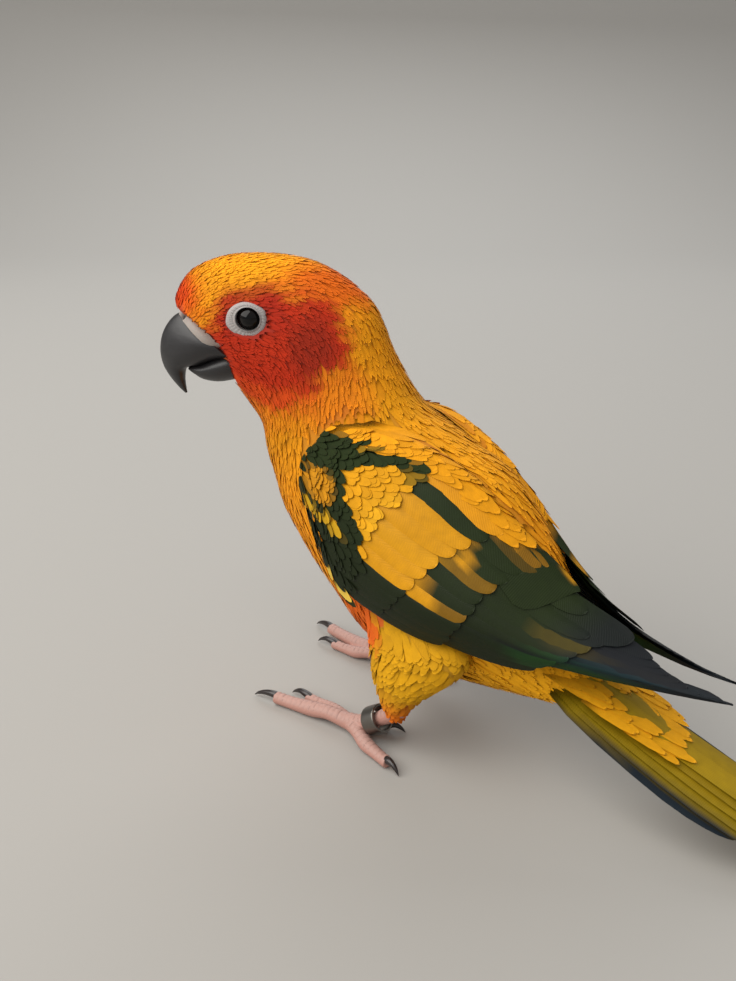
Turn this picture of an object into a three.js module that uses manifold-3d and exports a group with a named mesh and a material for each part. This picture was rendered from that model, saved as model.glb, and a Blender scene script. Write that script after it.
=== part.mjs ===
// A life-size model of a sun conure standing on a level floor, its head turned a little to its left.
// Units are millimetres. The bird faces -X, its left side is -Y and Z is up.
// The finished group is moved so that its origin is the middle of its footprint, at floor level.
import * as THREE from "three";
import { mergeVertices } from "three/addons/utils/BufferGeometryUtils.js";
import Module from "manifold-3d";

const wasm = await Module();
wasm.setup();

// Clearance kept between pieces that touch, and the least thickness of a vane.
const GAP = 0.35;
const VANE_THICKNESS = 0.55;

// Vertices nearer together than this become one; the first distance that leaves a clean surface is used.
const MERGE = [1e-3, 2e-3, 4e-3, 8e-3, 1.5e-2, 3e-2];

// The head is turned about an upright line through the neck.
const NECK_X = -8;
const HEAD_YAW = 27;

// The body is a row of egg-shaped sections from the bill's root to the tail's root.
// back and front are the section's two ends in the plane of symmetry: [ahead of the neck line, height].
// half is half the width, skew makes the section wider towards its back end.
const SECTIONS = [
  { back: [51.8, 122.6], front: [40.0, 105.5], half: 6.4, skew: 0.0, yaw: HEAD_YAW },
  { back: [52.6, 127.6], front: [37.5, 103.3], half: 8.0, skew: 0.05, yaw: HEAD_YAW },
  { back: [46.5, 135.4], front: [34.5, 100.3], half: 11.2, skew: 0.0, yaw: HEAD_YAW },
  { back: [32.5, 139.4], front: [31.5, 96.5], half: 13.9, skew: -0.05, yaw: HEAD_YAW },
  { back: [13.0, 137.6], front: [28.5, 91.0], half: 15.2, skew: -0.1, yaw: HEAD_YAW },
  { back: [-2.5, 127.3], front: [28.0, 83.5], half: 16.0, skew: -0.08, yaw: 24 },
  { back: [-9.5, 112.5], front: [26.8, 75.0], half: 17.4, skew: 0.0, yaw: 16 },
  { back: [-17.5, 100.5], front: [23.8, 62.0], half: 20.0, skew: 0.05, yaw: 7 },
  { back: [-31.5, 93.5], front: [15.5, 50.0], half: 22.0, skew: 0.0, yaw: 2 },
  { back: [-47.5, 86.0], front: [5.5, 39.0], half: 22.3, skew: -0.05, yaw: 0 },
  { back: [-58.5, 74.0], front: [-6.5, 28.0], half: 21.0, skew: -0.1, yaw: 0 },
  { back: [-66.0, 61.5], front: [-24.0, 22.5], half: 17.5, skew: -0.1, yaw: 0 },
  { back: [-71.0, 48.5], front: [-43.0, 22.0], half: 12.5, skew: 0.0, yaw: 0 },
  { back: [-75.0, 37.5], front: [-61.0, 23.5], half: 8.5, skew: 0.0, yaw: 0 },
];
const HEAD_END = 5;
const NECK_END = 7;
const TORSO_END = 13;
const BODY_SIDES = 28;
const RINGS_PER_SECTION = 2;

// The bill and the cere as sections in the head's plane: [ahead, height] of the upper and lower ends.
const UPPER_BILL = [
  { back: [47.5, 121.0], front: [38.0, 112.0], half: 6.2 },
  { back: [51.6, 122.2], front: [41.2, 111.6], half: 6.6 },
  { back: [55.0, 119.8], front: [44.0, 109.4], half: 6.2 },
  { back: [57.5, 115.9], front: [46.8, 107.8], half: 5.3 },
  { back: [58.6, 111.5], front: [49.4, 107.0], half: 4.3 },
  { back: [58.1, 107.2], front: [51.3, 106.0], half: 3.1 },
  { back: [56.3, 103.6], front: [51.9, 103.4], half: 2.0 },
  { back: [54.0, 100.6], front: [51.8, 101.0], half: 1.1 },
  { back: [52.1, 98.7], front: [51.5, 98.9], half: 0.35 },
];
const LOWER_BILL = [
  { back: [33.5, 111.0], front: [33.5, 104.5], half: 4.6 },
  { back: [38.0, 111.6], front: [37.0, 103.6], half: 5.5 },
  { back: [41.6, 110.4], front: [41.5, 102.8], half: 5.3 },
  { back: [45.0, 108.6], front: [45.8, 103.3], half: 4.4 },
  { back: [47.9, 107.6], front: [48.4, 104.7], half: 3.2 },
  { back: [50.0, 107.0], front: [50.3, 105.9], half: 1.6 },
];
const CERE = [
  { back: [47.5, 123.6], front: [37.8, 113.6], half: 7.0 },
  { back: [50.2, 123.6], front: [40.0, 113.0], half: 7.3 },
  { back: [52.4, 122.6], front: [41.6, 112.4], half: 7.1 },
  { back: [53.6, 121.3], front: [42.6, 111.6], half: 6.6 },
];
const NOSTRIL = { ahead: 50.2, aside: 3.6, height: 121.6, size: [1.1, 1.4, 0.8] };

// The eye, its bare ring of skin and the two lids, measured from the middle of the eye.
const EYE = { ahead: 28.8, aside: 10.9, height: 124.0, radius: 3.5 };
const EYE_RING = { ahead: 0.7, down: 0.7, long: 5.7, high: 4.9, depth: 3.4, stand: 1.1 };
const LID = { open: 3.15, thick: 0.55, stand: 2.0 };

// One thigh of feathers and one shank; the left leg stands at FOOT.left and the right one at FOOT.right.
const THIGH = [
  { at: [17.0, -2.5, 47.0], along: 15.0, across: 7.0 },
  { at: [23.5, -0.5, 38.0], along: 16.5, across: 8.0 },
  { at: [21.9, 0.0, 30.5], along: 14.0, across: 7.0 },
  { at: [18.5, 0.0, 22.5], along: 9.0, across: 5.6 },
  { at: [16.9, 0.0, 16.0], along: 5.0, across: 4.2 },
  { at: [16.8, 0.0, 11.8], along: 2.8, across: 2.8 },
];
const SHANK = [
  { at: [18.5, 0.0, 15.0], radius: 2.6 },
  { at: [14.5, 0.0, 11.4], radius: 2.5 },
  { at: [9.0, 0.0, 7.4], radius: 2.0 },
  { at: [3.5, 0.0, 4.2], radius: 2.4 },
  { at: [-1.5, 0.0, 3.0], radius: 2.7 },
];
const FOOT = { left: [0, -18], right: [-12.5, 19] };

// Each foot is turned outwards by this many degrees.
const FOOT_TURN = { left: 0, right: 10 };

// Toes by number, two forward and two back: [back, outward] of the tip and of the middle joint,
// the toe's radius and the length of its claw.
const TOES = {
  toe1: { reach: [9.5, -6.2], bend: [4.8, -4.2], radius: 1.75, claw: 5.5 },
  toe2: { reach: [-20.0, -4.8], bend: [-10.0, -3.6], radius: 1.9, claw: 7.0 },
  toe3: { reach: [-28.0, 1.5], bend: [-14.0, 0.4], radius: 2.3, claw: 8.2 },
  toe4: { reach: [19.5, 8.5], bend: [9.5, 5.2], radius: 2.1, claw: 5.0 },
};
const CLAW = { radius: 1.15, arch: 2.6 };

// The ring round the left shank
const BAND = { at: [9.8, 0, 7.9], inner: 3.5, outer: 4.4, height: 5.0 };

// Five lines along the folded wing, from its lower edge up to the edge of the mantle.
// Each is [x, outward, z] at nine stations from the shoulder to the tip.
const WING_LINES = [
  [[-8, 22.5, 67], [-4, 24.8, 58.5], [5, 25.5, 50.5], [21, 25, 45.5], [40, 22, 42.5], [57, 17.5, 41],
    [79, 12, 41.5], [95, 8.5, 42.5], [105, 6.5, 43.5]],
  [[-14, 21.5, 74.5], [-3, 26.3, 68.5], [10, 28, 62], [26, 27.5, 56], [42, 24, 51.5], [58, 19, 47.5],
    [78, 12.5, 45], [94, 8.5, 44], [105, 6.2, 44]],
  [[-14, 19.5, 86.5], [1, 24, 83], [17, 24.5, 77], [31, 21.5, 69.5], [44, 19, 61.5], [58, 14.5, 54],
    [77, 9.5, 48.5], [93, 6.5, 45.5], [104, 5.5, 44.5]],
  [[-6, 17.5, 95.5], [10, 16.8, 95], [28, 12.5, 89], [41, 10, 79.5], [52, 8, 69], [63, 6, 59.5],
    [79, 4, 51], [93, 4, 47], [103, 4.5, 45]],
  [[1, 13.5, 98], [15, 10, 95.5], [31, 6.5, 87], [43, 5.5, 78], [54, 4.5, 69], [65, 4, 60],
    [80, 3, 52.5], [93, 3, 48], [102, 4, 46]],
];
const WING_THICKNESS = 2.6;
const WING_EDGE = { outer: -0.7, inner: -1.9 };

// The wing's normals are read this far to either side, in stations and lines.
const NORMAL_STEP = 0.2;

// Tiers of vanes on the wing, undermost first.
// root and tip give [station, line] for the first and the last vane of the tier.
const WING_TIERS = [
  {
    count: 7, root: [[3.6, 0.7], [3.6, 2.4]], tip: [[8.0, 0.9], [6.6, 2.9]],
    width: 6.6, lift: -1.9, rise: 0.6,
  },
  {
    count: 6, root: [[3.0, 0.5], [3.0, 3.0]], tip: [[5.2, 0.2], [6.1, 3.1]],
    width: 10.5, lift: -0.9, rise: 0.3,
  },
];
const WING_TILT = 0.35;

// The middle line of the tail's upper side: [x, z], down to where it lies along the floor.
const TAIL_LINE = [
  [58, 38], [70, 33.8], [84, 28.2], [98, 22.4], [112, 17.2], [126, 12.4], [140, 8], [156, 3.8], [176, 0.6],
];
const TAIL_PAIRS = 6;
const TAIL = { rootX: 60, tipX: 175, stepX: 12.5, width: 11.5, rootGap: 1.3, tipGap: 2.3, layer: 1.1 };
const TAIL_THICKNESS = 1.3;

// Coverts over the tail's root: [x of the root, x of the tip, outward of the tip, width, lift].
const TAIL_COVERTS = [
  [56, 88, 8, 9, 0.9], [55, 96, 4.2, 9, 1.6], [54, 86, 0.5, 9, 2.4],
];

// One vane on the wing. Its lower edge is raised, so that it lies over its lower neighbour.
const VANE_ROWS = [0, 0.5, 0.84, 1];
const VANE_WIDTHS = [0.8, 1, 0.8, 0.2];

// Half of the thin cut that parts two lengths of the body, in sections.
const CUT = 0.012;

// Basic number helpers
const radians = THREE.MathUtils.degToRad;
const lerp = THREE.MathUtils.lerp;
const vec = (x, y, z) => new THREE.Vector3(x, y, z);

// Catmull-Rom value of a list of numbers at a place counted in list steps; the ends are held.
function spline(values, place) {
  const last = values.length - 1;
  const at = THREE.MathUtils.clamp(place, 0, last);
  const i = Math.min(Math.floor(at), last - 1);
  const u = at - i;
  const p0 = values[Math.max(i - 1, 0)];
  const p1 = values[i];
  const p2 = values[i + 1];
  const p3 = values[Math.min(i + 2, last)];
  const bend = 2 * p0 - 5 * p1 + 4 * p2 - p3;
  const twist = 3 * p1 - p0 - 3 * p2 + p3;
  return 0.5 * (2 * p1 + (p2 - p0) * u + bend * u * u + twist * u * u * u);
}

// The same curve through a list of points.
function splinePoint(points, place) {
  const read = (axis) => spline(points.map((p) => p[axis]), place);
  return vec(read(0), read(1), read(2));
}

// A triangle mesh from points and faces, with its shared vertices merged.
function meshGeometry(points, faces) {
  const flat = points.flatMap((p) => [p.x, p.y, p.z]);
  const geometry = new THREE.BufferGeometry();
  geometry.setAttribute("position", new THREE.Float32BufferAttribute(flat, 3));
  geometry.setIndex(faces);
  return geometry;
}

// A closed solid through a row of rings of equal point count, capped by a fan at each end.
function loft(rings) {
  const n = rings[0].length;
  const points = rings.flat();
  const faces = [];
  for (let r = 0; r + 1 < rings.length; r++) {
    for (let i = 0; i < n; i++) {
      const a = r * n + i;
      const b = r * n + ((i + 1) % n);
      faces.push(a, b, b + n, a, b + n, a + n);
    }
  }
  const middle = (ring) => ring.reduce((sum, p) => sum.add(p), vec(0, 0, 0)).divideScalar(n);
  const first = points.push(middle(rings[0])) - 1;
  const last = points.push(middle(rings.at(-1))) - 1;
  const start = (rings.length - 1) * n;
  for (let i = 0; i < n; i++) {
    const j = (i + 1) % n;
    faces.push(first, j, i);
    faces.push(last, start + i, start + j);
  }
  return meshGeometry(points, faces);
}

// A solid for joining and cutting, turned right way out.
function toSolid(geometry, tolerance = 1e-4) {
  const plain = geometry.clone();
  plain.deleteAttribute("normal");
  plain.deleteAttribute("uv");
  const merged = mergeVertices(plain, tolerance);
  const make = (triVerts) =>
    new wasm.Manifold(
      new wasm.Mesh({ numProp: 3, vertProperties: merged.attributes.position.array, triVerts }),
    );
  const faces = new Uint32Array(merged.index.array);
  const solid = make(faces);
  return solid.volume() > 0 ? solid : make(faces.reverse());
}

// The largest closed body of a solid, back as a geometry.
function toGeometry(solid) {
  const bodies = solid.decompose().sort((a, b) => b.volume() - a.volume());
  const mesh = bodies[0].getMesh();
  const points = [];
  for (let i = 0; i < mesh.numVert; i++) {
    points.push(vec(...mesh.vertProperties.subarray(i * mesh.numProp, i * mesh.numProp + 3)));
  }
  return meshGeometry(points, Array.from(mesh.triVerts)).toNonIndexed();
}

// Whether each edge of a triangle mesh belongs to exactly two faces.
function isTight(geometry) {
  const { index } = mergeVertices(geometry, MERGE[0]);
  const uses = new Map();
  for (let i = 0; i < index.count; i++) {
    const a = index.getX(i);
    const b = index.getX(i % 3 === 2 ? i - 2 : i + 1);
    const key = Math.min(a, b) + " " + Math.max(a, b);
    uses.set(key, (uses.get(key) ?? 0) + 1);
  }
  return [...uses.values()].every((count) => count === 2);
}

// The same body with its closest vertices drawn together until one clean closed surface is left.
function settle(geometry) {
  for (const tolerance of MERGE) {
    const body = toGeometry(toSolid(geometry, tolerance));
    if (isTight(body) && toSolid(body, MERGE[0]).decompose().length === 1) return body;
  }
  throw new Error("no clean surface was found");
}

const joinAll = (solids) => solids.reduce((sum, s) => sum.add(s));

// A point of the plane that is turned by yaw about the neck line.
function sidePoint(ahead, height, yaw) {
  return vec(NECK_X - ahead * Math.cos(yaw), -ahead * Math.sin(yaw), height);
}

// One body section as its middle, its half axis towards the back and its half axis to the left.
function bodySection(place, grow = 0) {
  const read = (pick) => spline(SECTIONS.map(pick), place);
  const yaw = radians(read((s) => s.yaw));
  const back = sidePoint(read((s) => s.back[0]), read((s) => s.back[1]), yaw);
  const front = sidePoint(read((s) => s.front[0]), read((s) => s.front[1]), yaw);
  const middle = back.clone().add(front).multiplyScalar(0.5);
  const up = back.clone().sub(middle);
  up.setLength(up.length() + grow);
  const left = vec(Math.sin(yaw), -Math.cos(yaw), 0).multiplyScalar(read((s) => s.half) + grow);
  return { middle, up, left, skew: read((s) => s.skew) };
}

// The point of a body section at an angle from its back end round towards the left.
function onSection({ middle, up, left, skew }, angle) {
  const side = Math.sin(angle) * (1 + skew * Math.cos(angle));
  return middle.clone().addScaledVector(up, Math.cos(angle)).addScaledVector(left, side);
}

function bodyRing(place, grow = 0) {
  const section = bodySection(place, grow);
  return Array.from({ length: BODY_SIDES }, (_, i) => onSection(section, (i * 2 * Math.PI) / BODY_SIDES));
}

// A length of the body between two places, as a solid.
function bodyLength(from, to, grow = 0) {
  const steps = Math.max(2, Math.round((to - from) * RINGS_PER_SECTION));
  const rings = Array.from({ length: steps + 1 }, (_, i) => bodyRing(lerp(from, to, i / steps), grow));
  return toSolid(loft(rings));
}

// A closed slab between two grids of points with the same rows, triangulated alike on both faces.
function slab(top, bottom) {
  const rows = top.length;
  const cols = top[0].length;
  const points = [...top.flat(), ...bottom.flat()];
  const under = rows * cols;
  const faces = [];
  for (let r = 0; r + 1 < rows; r++) {
    for (let c = 0; c + 1 < cols; c++) {
      const a = r * cols + c;
      const b = a + cols;
      faces.push(a, b, a + 1, a + 1, b, b + 1);
      faces.push(under + a, under + a + 1, under + b, under + a + 1, under + b + 1, under + b);
    }
  }
  const rim = [];
  for (let c = 0; c + 1 < cols; c++) rim.push(c);
  for (let r = 0; r + 1 < rows; r++) rim.push(r * cols + cols - 1);
  for (let c = cols - 1; c > 0; c--) rim.push((rows - 1) * cols + c);
  for (let r = rows - 1; r > 0; r--) rim.push(r * cols);
  rim.forEach((a, i) => {
    const b = rim[(i + 1) % rim.length];
    faces.push(a, b, under + a, b, under + b, under + a);
  });
  return meshGeometry(points, faces);
}

// The rings of a part of the head whose sections stand in the head's plane.
function headPart(sections, steps, sides, grow = 0) {
  const rings = [];
  const last = sections.length - 1;
  for (let k = 0; k <= last * steps; k++) {
    const read = (pick) => spline(sections.map(pick), k / steps);
    const back = sidePoint(read((s) => s.back[0]), read((s) => s.back[1]), radians(HEAD_YAW));
    const front = sidePoint(read((s) => s.front[0]), read((s) => s.front[1]), radians(HEAD_YAW));
    const middle = back.clone().add(front).multiplyScalar(0.5);
    const up = back.clone().sub(middle);
    up.setLength(up.length() + grow);
    const yaw = radians(HEAD_YAW);
    const left = vec(Math.sin(yaw), -Math.cos(yaw), 0).multiplyScalar(read((s) => s.half) + grow);
    rings.push(Array.from({ length: sides }, (_, i) =>
      onSection({ middle, up, left, skew: 0 }, (i * 2 * Math.PI) / sides)));
  }
  return toSolid(loft(rings));
}

// Places beside the head: ahead of the neck line, aside to the left (negative: to the right) and up.
function headPoint(ahead, aside, height) {
  const yaw = radians(HEAD_YAW);
  return sidePoint(ahead, height, yaw).add(vec(Math.sin(yaw), -Math.cos(yaw), 0).multiplyScalar(aside));
}

// A ball or egg at a place, its own axes turned with the head.
function headBall(place, radii, segments = 16) {
  const geometry = new THREE.SphereGeometry(1, segments, Math.round(segments * 0.75));
  geometry.scale(...radii);
  geometry.rotateZ(radians(HEAD_YAW));
  geometry.translate(place.x, place.y, place.z);
  return toSolid(geometry);
}

// The two lids together are a thin roll of skin around the eye.
function lidRing(place) {
  const geometry = new THREE.TorusGeometry(LID.open, LID.thick, 5, 14);
  geometry.rotateX(Math.PI / 2);
  geometry.scale(1.05, 1, 0.95);
  geometry.rotateZ(radians(HEAD_YAW));
  geometry.translate(place.x, place.y, place.z);
  return toSolid(geometry);
}

// A round limb along a curved middle line; each section is upright to the line.
function limb(stations, steps, sides, grow = 0) {
  const middles = stations.map((s) => s.at);
  const last = stations.length - 1;
  const rings = [];
  for (let k = 0; k <= last * steps; k++) {
    const at = k / steps;
    const middle = splinePoint(middles, at);
    const ahead = splinePoint(middles, Math.min(at + 0.05, last));
    const behind = splinePoint(middles, Math.max(at - 0.05, 0));
    const run = ahead.sub(behind).normalize();
    const across = vec(0, 0, 1).cross(run);
    if (across.length() < 0.2) across.copy(vec(0, 1, 0));
    across.addScaledVector(run, -across.dot(run)).normalize();
    const up = run.clone().cross(across);
    const wide = spline(stations.map((s) => s.across ?? s.radius), at) + grow;
    const high = spline(stations.map((s) => s.along ?? s.radius), at) + grow;
    rings.push(Array.from({ length: sides }, (_, i) => {
      const angle = (i * 2 * Math.PI) / sides;
      return middle.clone()
        .addScaledVector(across, wide * Math.cos(angle))
        .addScaledVector(up, high * Math.sin(angle));
    }));
  }
  return toSolid(loft(rings));
}

// The thigh's sections lie level, longer along the body than across it.
function thigh(side, grow = 0) {
  const [footX, footY] = side < 0 ? FOOT.left : FOOT.right;
  const last = THIGH.length - 1;
  const rings = [];
  for (let k = 0; k <= last * 2; k++) {
    const middle = splinePoint(THIGH.map((s) => s.at), k / 2);
    const along = spline(THIGH.map((s) => s.along), k / 2) + grow;
    const across = spline(THIGH.map((s) => s.across), k / 2) + grow;
    const slack = side < 0 ? 0 : 10 * (1 - k / (last * 2));
    rings.push(Array.from({ length: 16 }, (_, i) => {
      const angle = (i * 2 * Math.PI) / 16;
      const x = footX + slack + middle.x + along * Math.cos(angle);
      return vec(x, footY + side * middle.y + across * Math.sin(angle), middle.z);
    }));
  }
  return toSolid(loft(rings));
}

// The shank and the toes of one side, flat where they meet the floor.
function footPlace(side, [x, outward], height) {
  const [footX, footY] = side < 0 ? FOOT.left : FOOT.right;
  const turn = radians(side < 0 ? FOOT_TURN.left : FOOT_TURN.right);
  const back = x * Math.cos(turn) + outward * Math.sin(turn);
  const out = outward * Math.cos(turn) - x * Math.sin(turn);
  return [footX + back, footY + side * out, height];
}

function toe(side, { reach, bend, radius }) {
  const low = radius - 0.3;
  return limb([
    { at: footPlace(side, [0, 0], 3.0), radius: radius + 0.3 },
    { at: footPlace(side, [bend[0] * 0.55, bend[1] * 0.6], low + 1.3), radius: radius - 0.1 },
    { at: footPlace(side, bend, low + 0.3), radius },
    { at: footPlace(side, [(bend[0] + reach[0]) / 2, (bend[1] + reach[1]) / 2], low), radius: radius * 0.86 },
    { at: footPlace(side, reach, low), radius: radius * 0.8 },
  ], 2, 7);
}

function claw(side, { reach, bend, radius, claw: length }, grow = 0) {
  const run = vec(reach[0] - bend[0], reach[1] - bend[1], 0).normalize();
  const spot = (forward, height) =>
    footPlace(side, [reach[0] + run.x * forward, reach[1] + run.y * forward], height);
  return limb([
    { at: spot(-2.2, radius), radius: CLAW.radius * 0.9 },
    { at: spot(0.4, radius + 0.6), radius: CLAW.radius },
    { at: spot(length * 0.45, CLAW.arch), radius: CLAW.radius * 0.75 },
    { at: spot(length * 0.8, CLAW.arch * 0.6), radius: CLAW.radius * 0.45 },
    { at: spot(length, 0.35), radius: 0.18 },
  ], 2, 6, grow);
}

// The folded wing's outer face: a place on its lines; past its edges it runs straight on.
function wingPoint(station, line) {
  const last = WING_LINES.length - 1;
  const on = (l) => {
    const read = (axis) => spline(WING_LINES.map((row) => spline(row.map((p) => p[axis]), station)), l);
    return vec(read(0), read(1), read(2));
  };
  const inside = THREE.MathUtils.clamp(line, 0, last);
  const point = on(inside);
  if (line === inside) return point;
  const beyond = Math.abs(line - inside) / 0.1;
  const run = point.clone().sub(on(inside + (line < inside ? 0.1 : -0.1)));
  return point.addScaledVector(run, beyond);
}

// A point above the wing's face, or below it for a negative lift.
function wingAt(side, station, line, lift) {
  const along = wingPoint(station + NORMAL_STEP, line).sub(wingPoint(station - NORMAL_STEP, line));
  const across = wingPoint(station, line + NORMAL_STEP).sub(wingPoint(station, line - NORMAL_STEP));
  const normal = across.cross(along).normalize();
  const at = wingPoint(station, line).addScaledVector(normal, lift);
  return vec(at.x, side * at.y, at.z);
}

function wingVane(side, root, tip, width, lift) {
  const top = [];
  const bottom = [];
  VANE_ROWS.forEach((r, k) => {
    const station = lerp(root[0], tip[0], r);
    const line = lerp(root[1], tip[1], r);
    const span = wingPoint(station, line + 0.1).distanceTo(wingPoint(station, line - 0.1)) / 0.2;
    const half = (0.5 * width * VANE_WIDTHS[k]) / Math.max(span, 1.5);
    const row = (drop) => [-1, 0, 1].map((c) =>
      wingAt(side, station, line + c * half, lift - c * WING_TILT - 0.25 * c * c - drop));
    top.push(row(0));
    bottom.push(row(r === 1 ? 0.35 : VANE_THICKNESS));
  });
  return toSolid(slab(top, bottom));
}

// Everything below the floor's level, to be cut away.
function underFloor() {
  const geometry = new THREE.BoxGeometry(500, 200, 40);
  geometry.translate(50, 0, -20);
  return toSolid(geometry);
}

// The arm of the wing is a curved plate with thinner edges; the tiers of vanes grow out of it.
function wing(side) {
  const top = [];
  const bottom = [];
  const steps = 9;
  const lines = Array.from({ length: 9 }, (_, i) => (i * 3.9) / 8);
  for (let k = 0; k <= steps; k++) {
    const station = (k * 4.4) / steps;
    const isRim = (i) => k === 0 || i === 0 || i === lines.length - 1;
    const outer = (i) => (isRim(i) ? WING_EDGE.outer : 0);
    const inner = (i) => (isRim(i) ? WING_EDGE.inner : -WING_THICKNESS);
    top.push(lines.map((line, i) => wingAt(side, station, line, outer(i))));
    bottom.push(lines.map((line, i) => wingAt(side, station, line, inner(i))));
  }
  const parts = [toSolid(slab(top, bottom))];
  for (const tier of WING_TIERS) {
    for (let k = 0; k < tier.count; k++) {
      const u = k / (tier.count - 1);
      const pick = (pair) => [lerp(pair[0][0], pair[1][0], u), lerp(pair[0][1], pair[1][1], u)];
      const lift = tier.lift + tier.rise * u;
      parts.push(wingVane(side, pick(tier.root), pick(tier.tip), tier.width, lift));
    }
  }
  return joinAll(parts);
}

// Tail vanes in pairs, the middle pair the longest and on top.
function tailZ(x) {
  const last = TAIL_LINE.length - 1;
  let i = 0;
  while (i < last - 1 && TAIL_LINE[i + 1][0] < x) i++;
  const u = (x - TAIL_LINE[i][0]) / (TAIL_LINE[i + 1][0] - TAIL_LINE[i][0]);
  return spline(TAIL_LINE.map((p) => p[1]), i + u);
}

function tailBlade(side, { rootX, tipX, rootY, tipY, width, lift, widths }) {
  const top = [];
  const bottom = [];
  widths.forEach((share, k) => {
    const r = [0, 0.5, 0.86, 1][k];
    const x = lerp(rootX, tipX, r);
    const middle = side * lerp(rootY, tipY, r);
    const row = (drop) => [-1, 0, 1].map((c) =>
      vec(x, middle + (side * c * width * share) / 2, tailZ(x) + lift - 0.3 * c * c - drop));
    top.push(row(0));
    bottom.push(row(TAIL_THICKNESS));
  });
  return toSolid(slab(top, bottom));
}

function tailPair(side, pair) {
  return tailBlade(side, {
    rootX: TAIL.rootX,
    tipX: TAIL.tipX - pair * TAIL.stepX,
    rootY: 0.6 + pair * TAIL.rootGap,
    tipY: 0.6 + pair * TAIL.tipGap,
    width: TAIL.width,
    lift: -pair * TAIL.layer,
    widths: [0.6, 1, 0.75, 0.12],
  });
}

function tailCovert(side, [rootX, tipX, tipY, width, lift]) {
  return tailBlade(side, {
    rootX, tipX, rootY: tipY * 0.7, tipY, width, lift, widths: [0.7, 1, 0.75, 0.15],
  });
}

// The named meshes
const bird = new THREE.Group();

function material(color, roughness = 0.8, metalness = 0) {
  return new THREE.MeshStandardMaterial({ color, roughness, metalness });
}

const pieces = [];
function addNode(name, solid, look) {
  pieces.push({ name, geometry: toGeometry(solid), look });
}

const yellow = material(0xe09a10);
const horn = material(0x1c1a19, 0.35);
const clawHorn = material(0x2c2522, 0.4);
const bareSkin = material(0xb9b2a8, 0.6);
const scales = material(0xa07a70, 0.6);

const upperBill = headPart(UPPER_BILL, 2, 16);
const lowerBill = headPart(LOWER_BILL, 2, 14).subtract(headPart(UPPER_BILL, 2, 16, GAP));
const cere = headPart(CERE, 1, 16).subtract(headPart(UPPER_BILL, 2, 16, GAP));
let head = bodyLength(0, HEAD_END - CUT)
  .subtract(headPart(UPPER_BILL, 2, 16, GAP))
  .subtract(headPart(LOWER_BILL, 2, 14, GAP))
  .subtract(headPart(CERE, 1, 16, GAP));
let finishedCere = cere;

for (const [side, name] of [[1, "left"], [-1, "right"]]) {
  const eyeAt = headPoint(EYE.ahead, side * EYE.aside, EYE.height);
  const ringOut = EYE.aside + EYE_RING.stand;
  const ringAt = headPoint(EYE.ahead + EYE_RING.ahead, side * ringOut, EYE.height - EYE_RING.down);
  const ring = (grow) =>
    headBall(ringAt, [EYE_RING.long + grow, EYE_RING.depth / 2 + grow, EYE_RING.high + grow], 14);
  const eye = headBall(eyeAt, [EYE.radius, EYE.radius, EYE.radius], 14);
  const socket = headBall(eyeAt, [EYE.radius + GAP, EYE.radius + GAP, EYE.radius + GAP], 14);
  const lids = lidRing(headPoint(EYE.ahead, side * (EYE.aside + LID.stand), EYE.height));
  head = head.subtract(ring(GAP)).subtract(socket);
  addNode("eye_" + name, eye, material(0x0a0908, 0.1));
  addNode("eye_ring_" + name, ring(0).add(lids).subtract(socket), bareSkin);
  const nostril = headPoint(NOSTRIL.ahead, side * NOSTRIL.aside, NOSTRIL.height);
  finishedCere = finishedCere.subtract(headBall(nostril, NOSTRIL.size, 8));
}

const torso = bodyLength(NECK_END + CUT, TORSO_END);
const torsoGrown = bodyLength(NECK_END - 1, TORSO_END, GAP);
const feet = {};
for (const [side, name] of [[-1, "left"], [1, "right"]]) {
  const claws = Object.entries(TOES).map(([toeName, size]) =>
    [toeName, claw(side, size), claw(side, size, 0.3)]);
  const [footX, footY] = side < 0 ? FOOT.left : FOOT.right;
  const shank = limb(SHANK.map((s) => ({ at: [footX + s.at[0], footY, s.at[2]], radius: s.radius })), 2, 10);
  let foot = joinAll([shank, ...Object.values(TOES).map((size) => toe(side, size))]);
  foot = foot.subtract(underFloor()).subtract(thigh(side, GAP));
  for (const [toeName, plain, grown] of claws) {
    foot = foot.subtract(grown);
    addNode("claw_" + name + "_" + toeName, plain.subtract(underFloor()), clawHorn);
  }
  feet[name] = foot;
  addNode("foot_" + name, foot, scales);
  addNode("thigh_" + name, thigh(side).subtract(torsoGrown), yellow);
  addNode("wing_" + name, wing(side).subtract(torsoGrown).subtract(thigh(side, GAP)), material(0x24502c));
}

const bandAxis = vec(15, 0, 10).normalize();
const bandProfile = [
  [BAND.inner, -BAND.height / 2], [BAND.outer, -BAND.height / 2],
  [BAND.outer, BAND.height / 2], [BAND.inner, BAND.height / 2], [BAND.inner, -BAND.height / 2],
].map(([x, y]) => new THREE.Vector2(x, y));
const bandGeometry = new THREE.LatheGeometry(bandProfile, 28);
bandGeometry.applyQuaternion(new THREE.Quaternion().setFromUnitVectors(vec(0, 1, 0), bandAxis));
bandGeometry.translate(FOOT.left[0] + BAND.at[0], FOOT.left[1], BAND.at[2]);
const band = toSolid(bandGeometry);
addNode("leg_band", band, material(0x6c6a66, 0.4, 0.9));

const tailBlades = [];
for (let pair = TAIL_PAIRS - 1; pair >= 0; pair--) {
  tailBlades.push(tailPair(-1, pair), tailPair(1, pair));
}
for (const covert of TAIL_COVERTS) {
  tailBlades.push(tailCovert(-1, covert), tailCovert(1, covert));
}
addNode("head", head, material(0xd0501a));
addNode("neck", bodyLength(HEAD_END + CUT, NECK_END - CUT), yellow);
addNode("torso", torso, yellow);
addNode("cere", finishedCere, bareSkin);
addNode("bill_upper", upperBill, horn);
addNode("bill_lower", lowerBill, horn);
addNode("tail", joinAll(tailBlades).subtract(torsoGrown).subtract(underFloor()), material(0x9a8a20));

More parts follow.
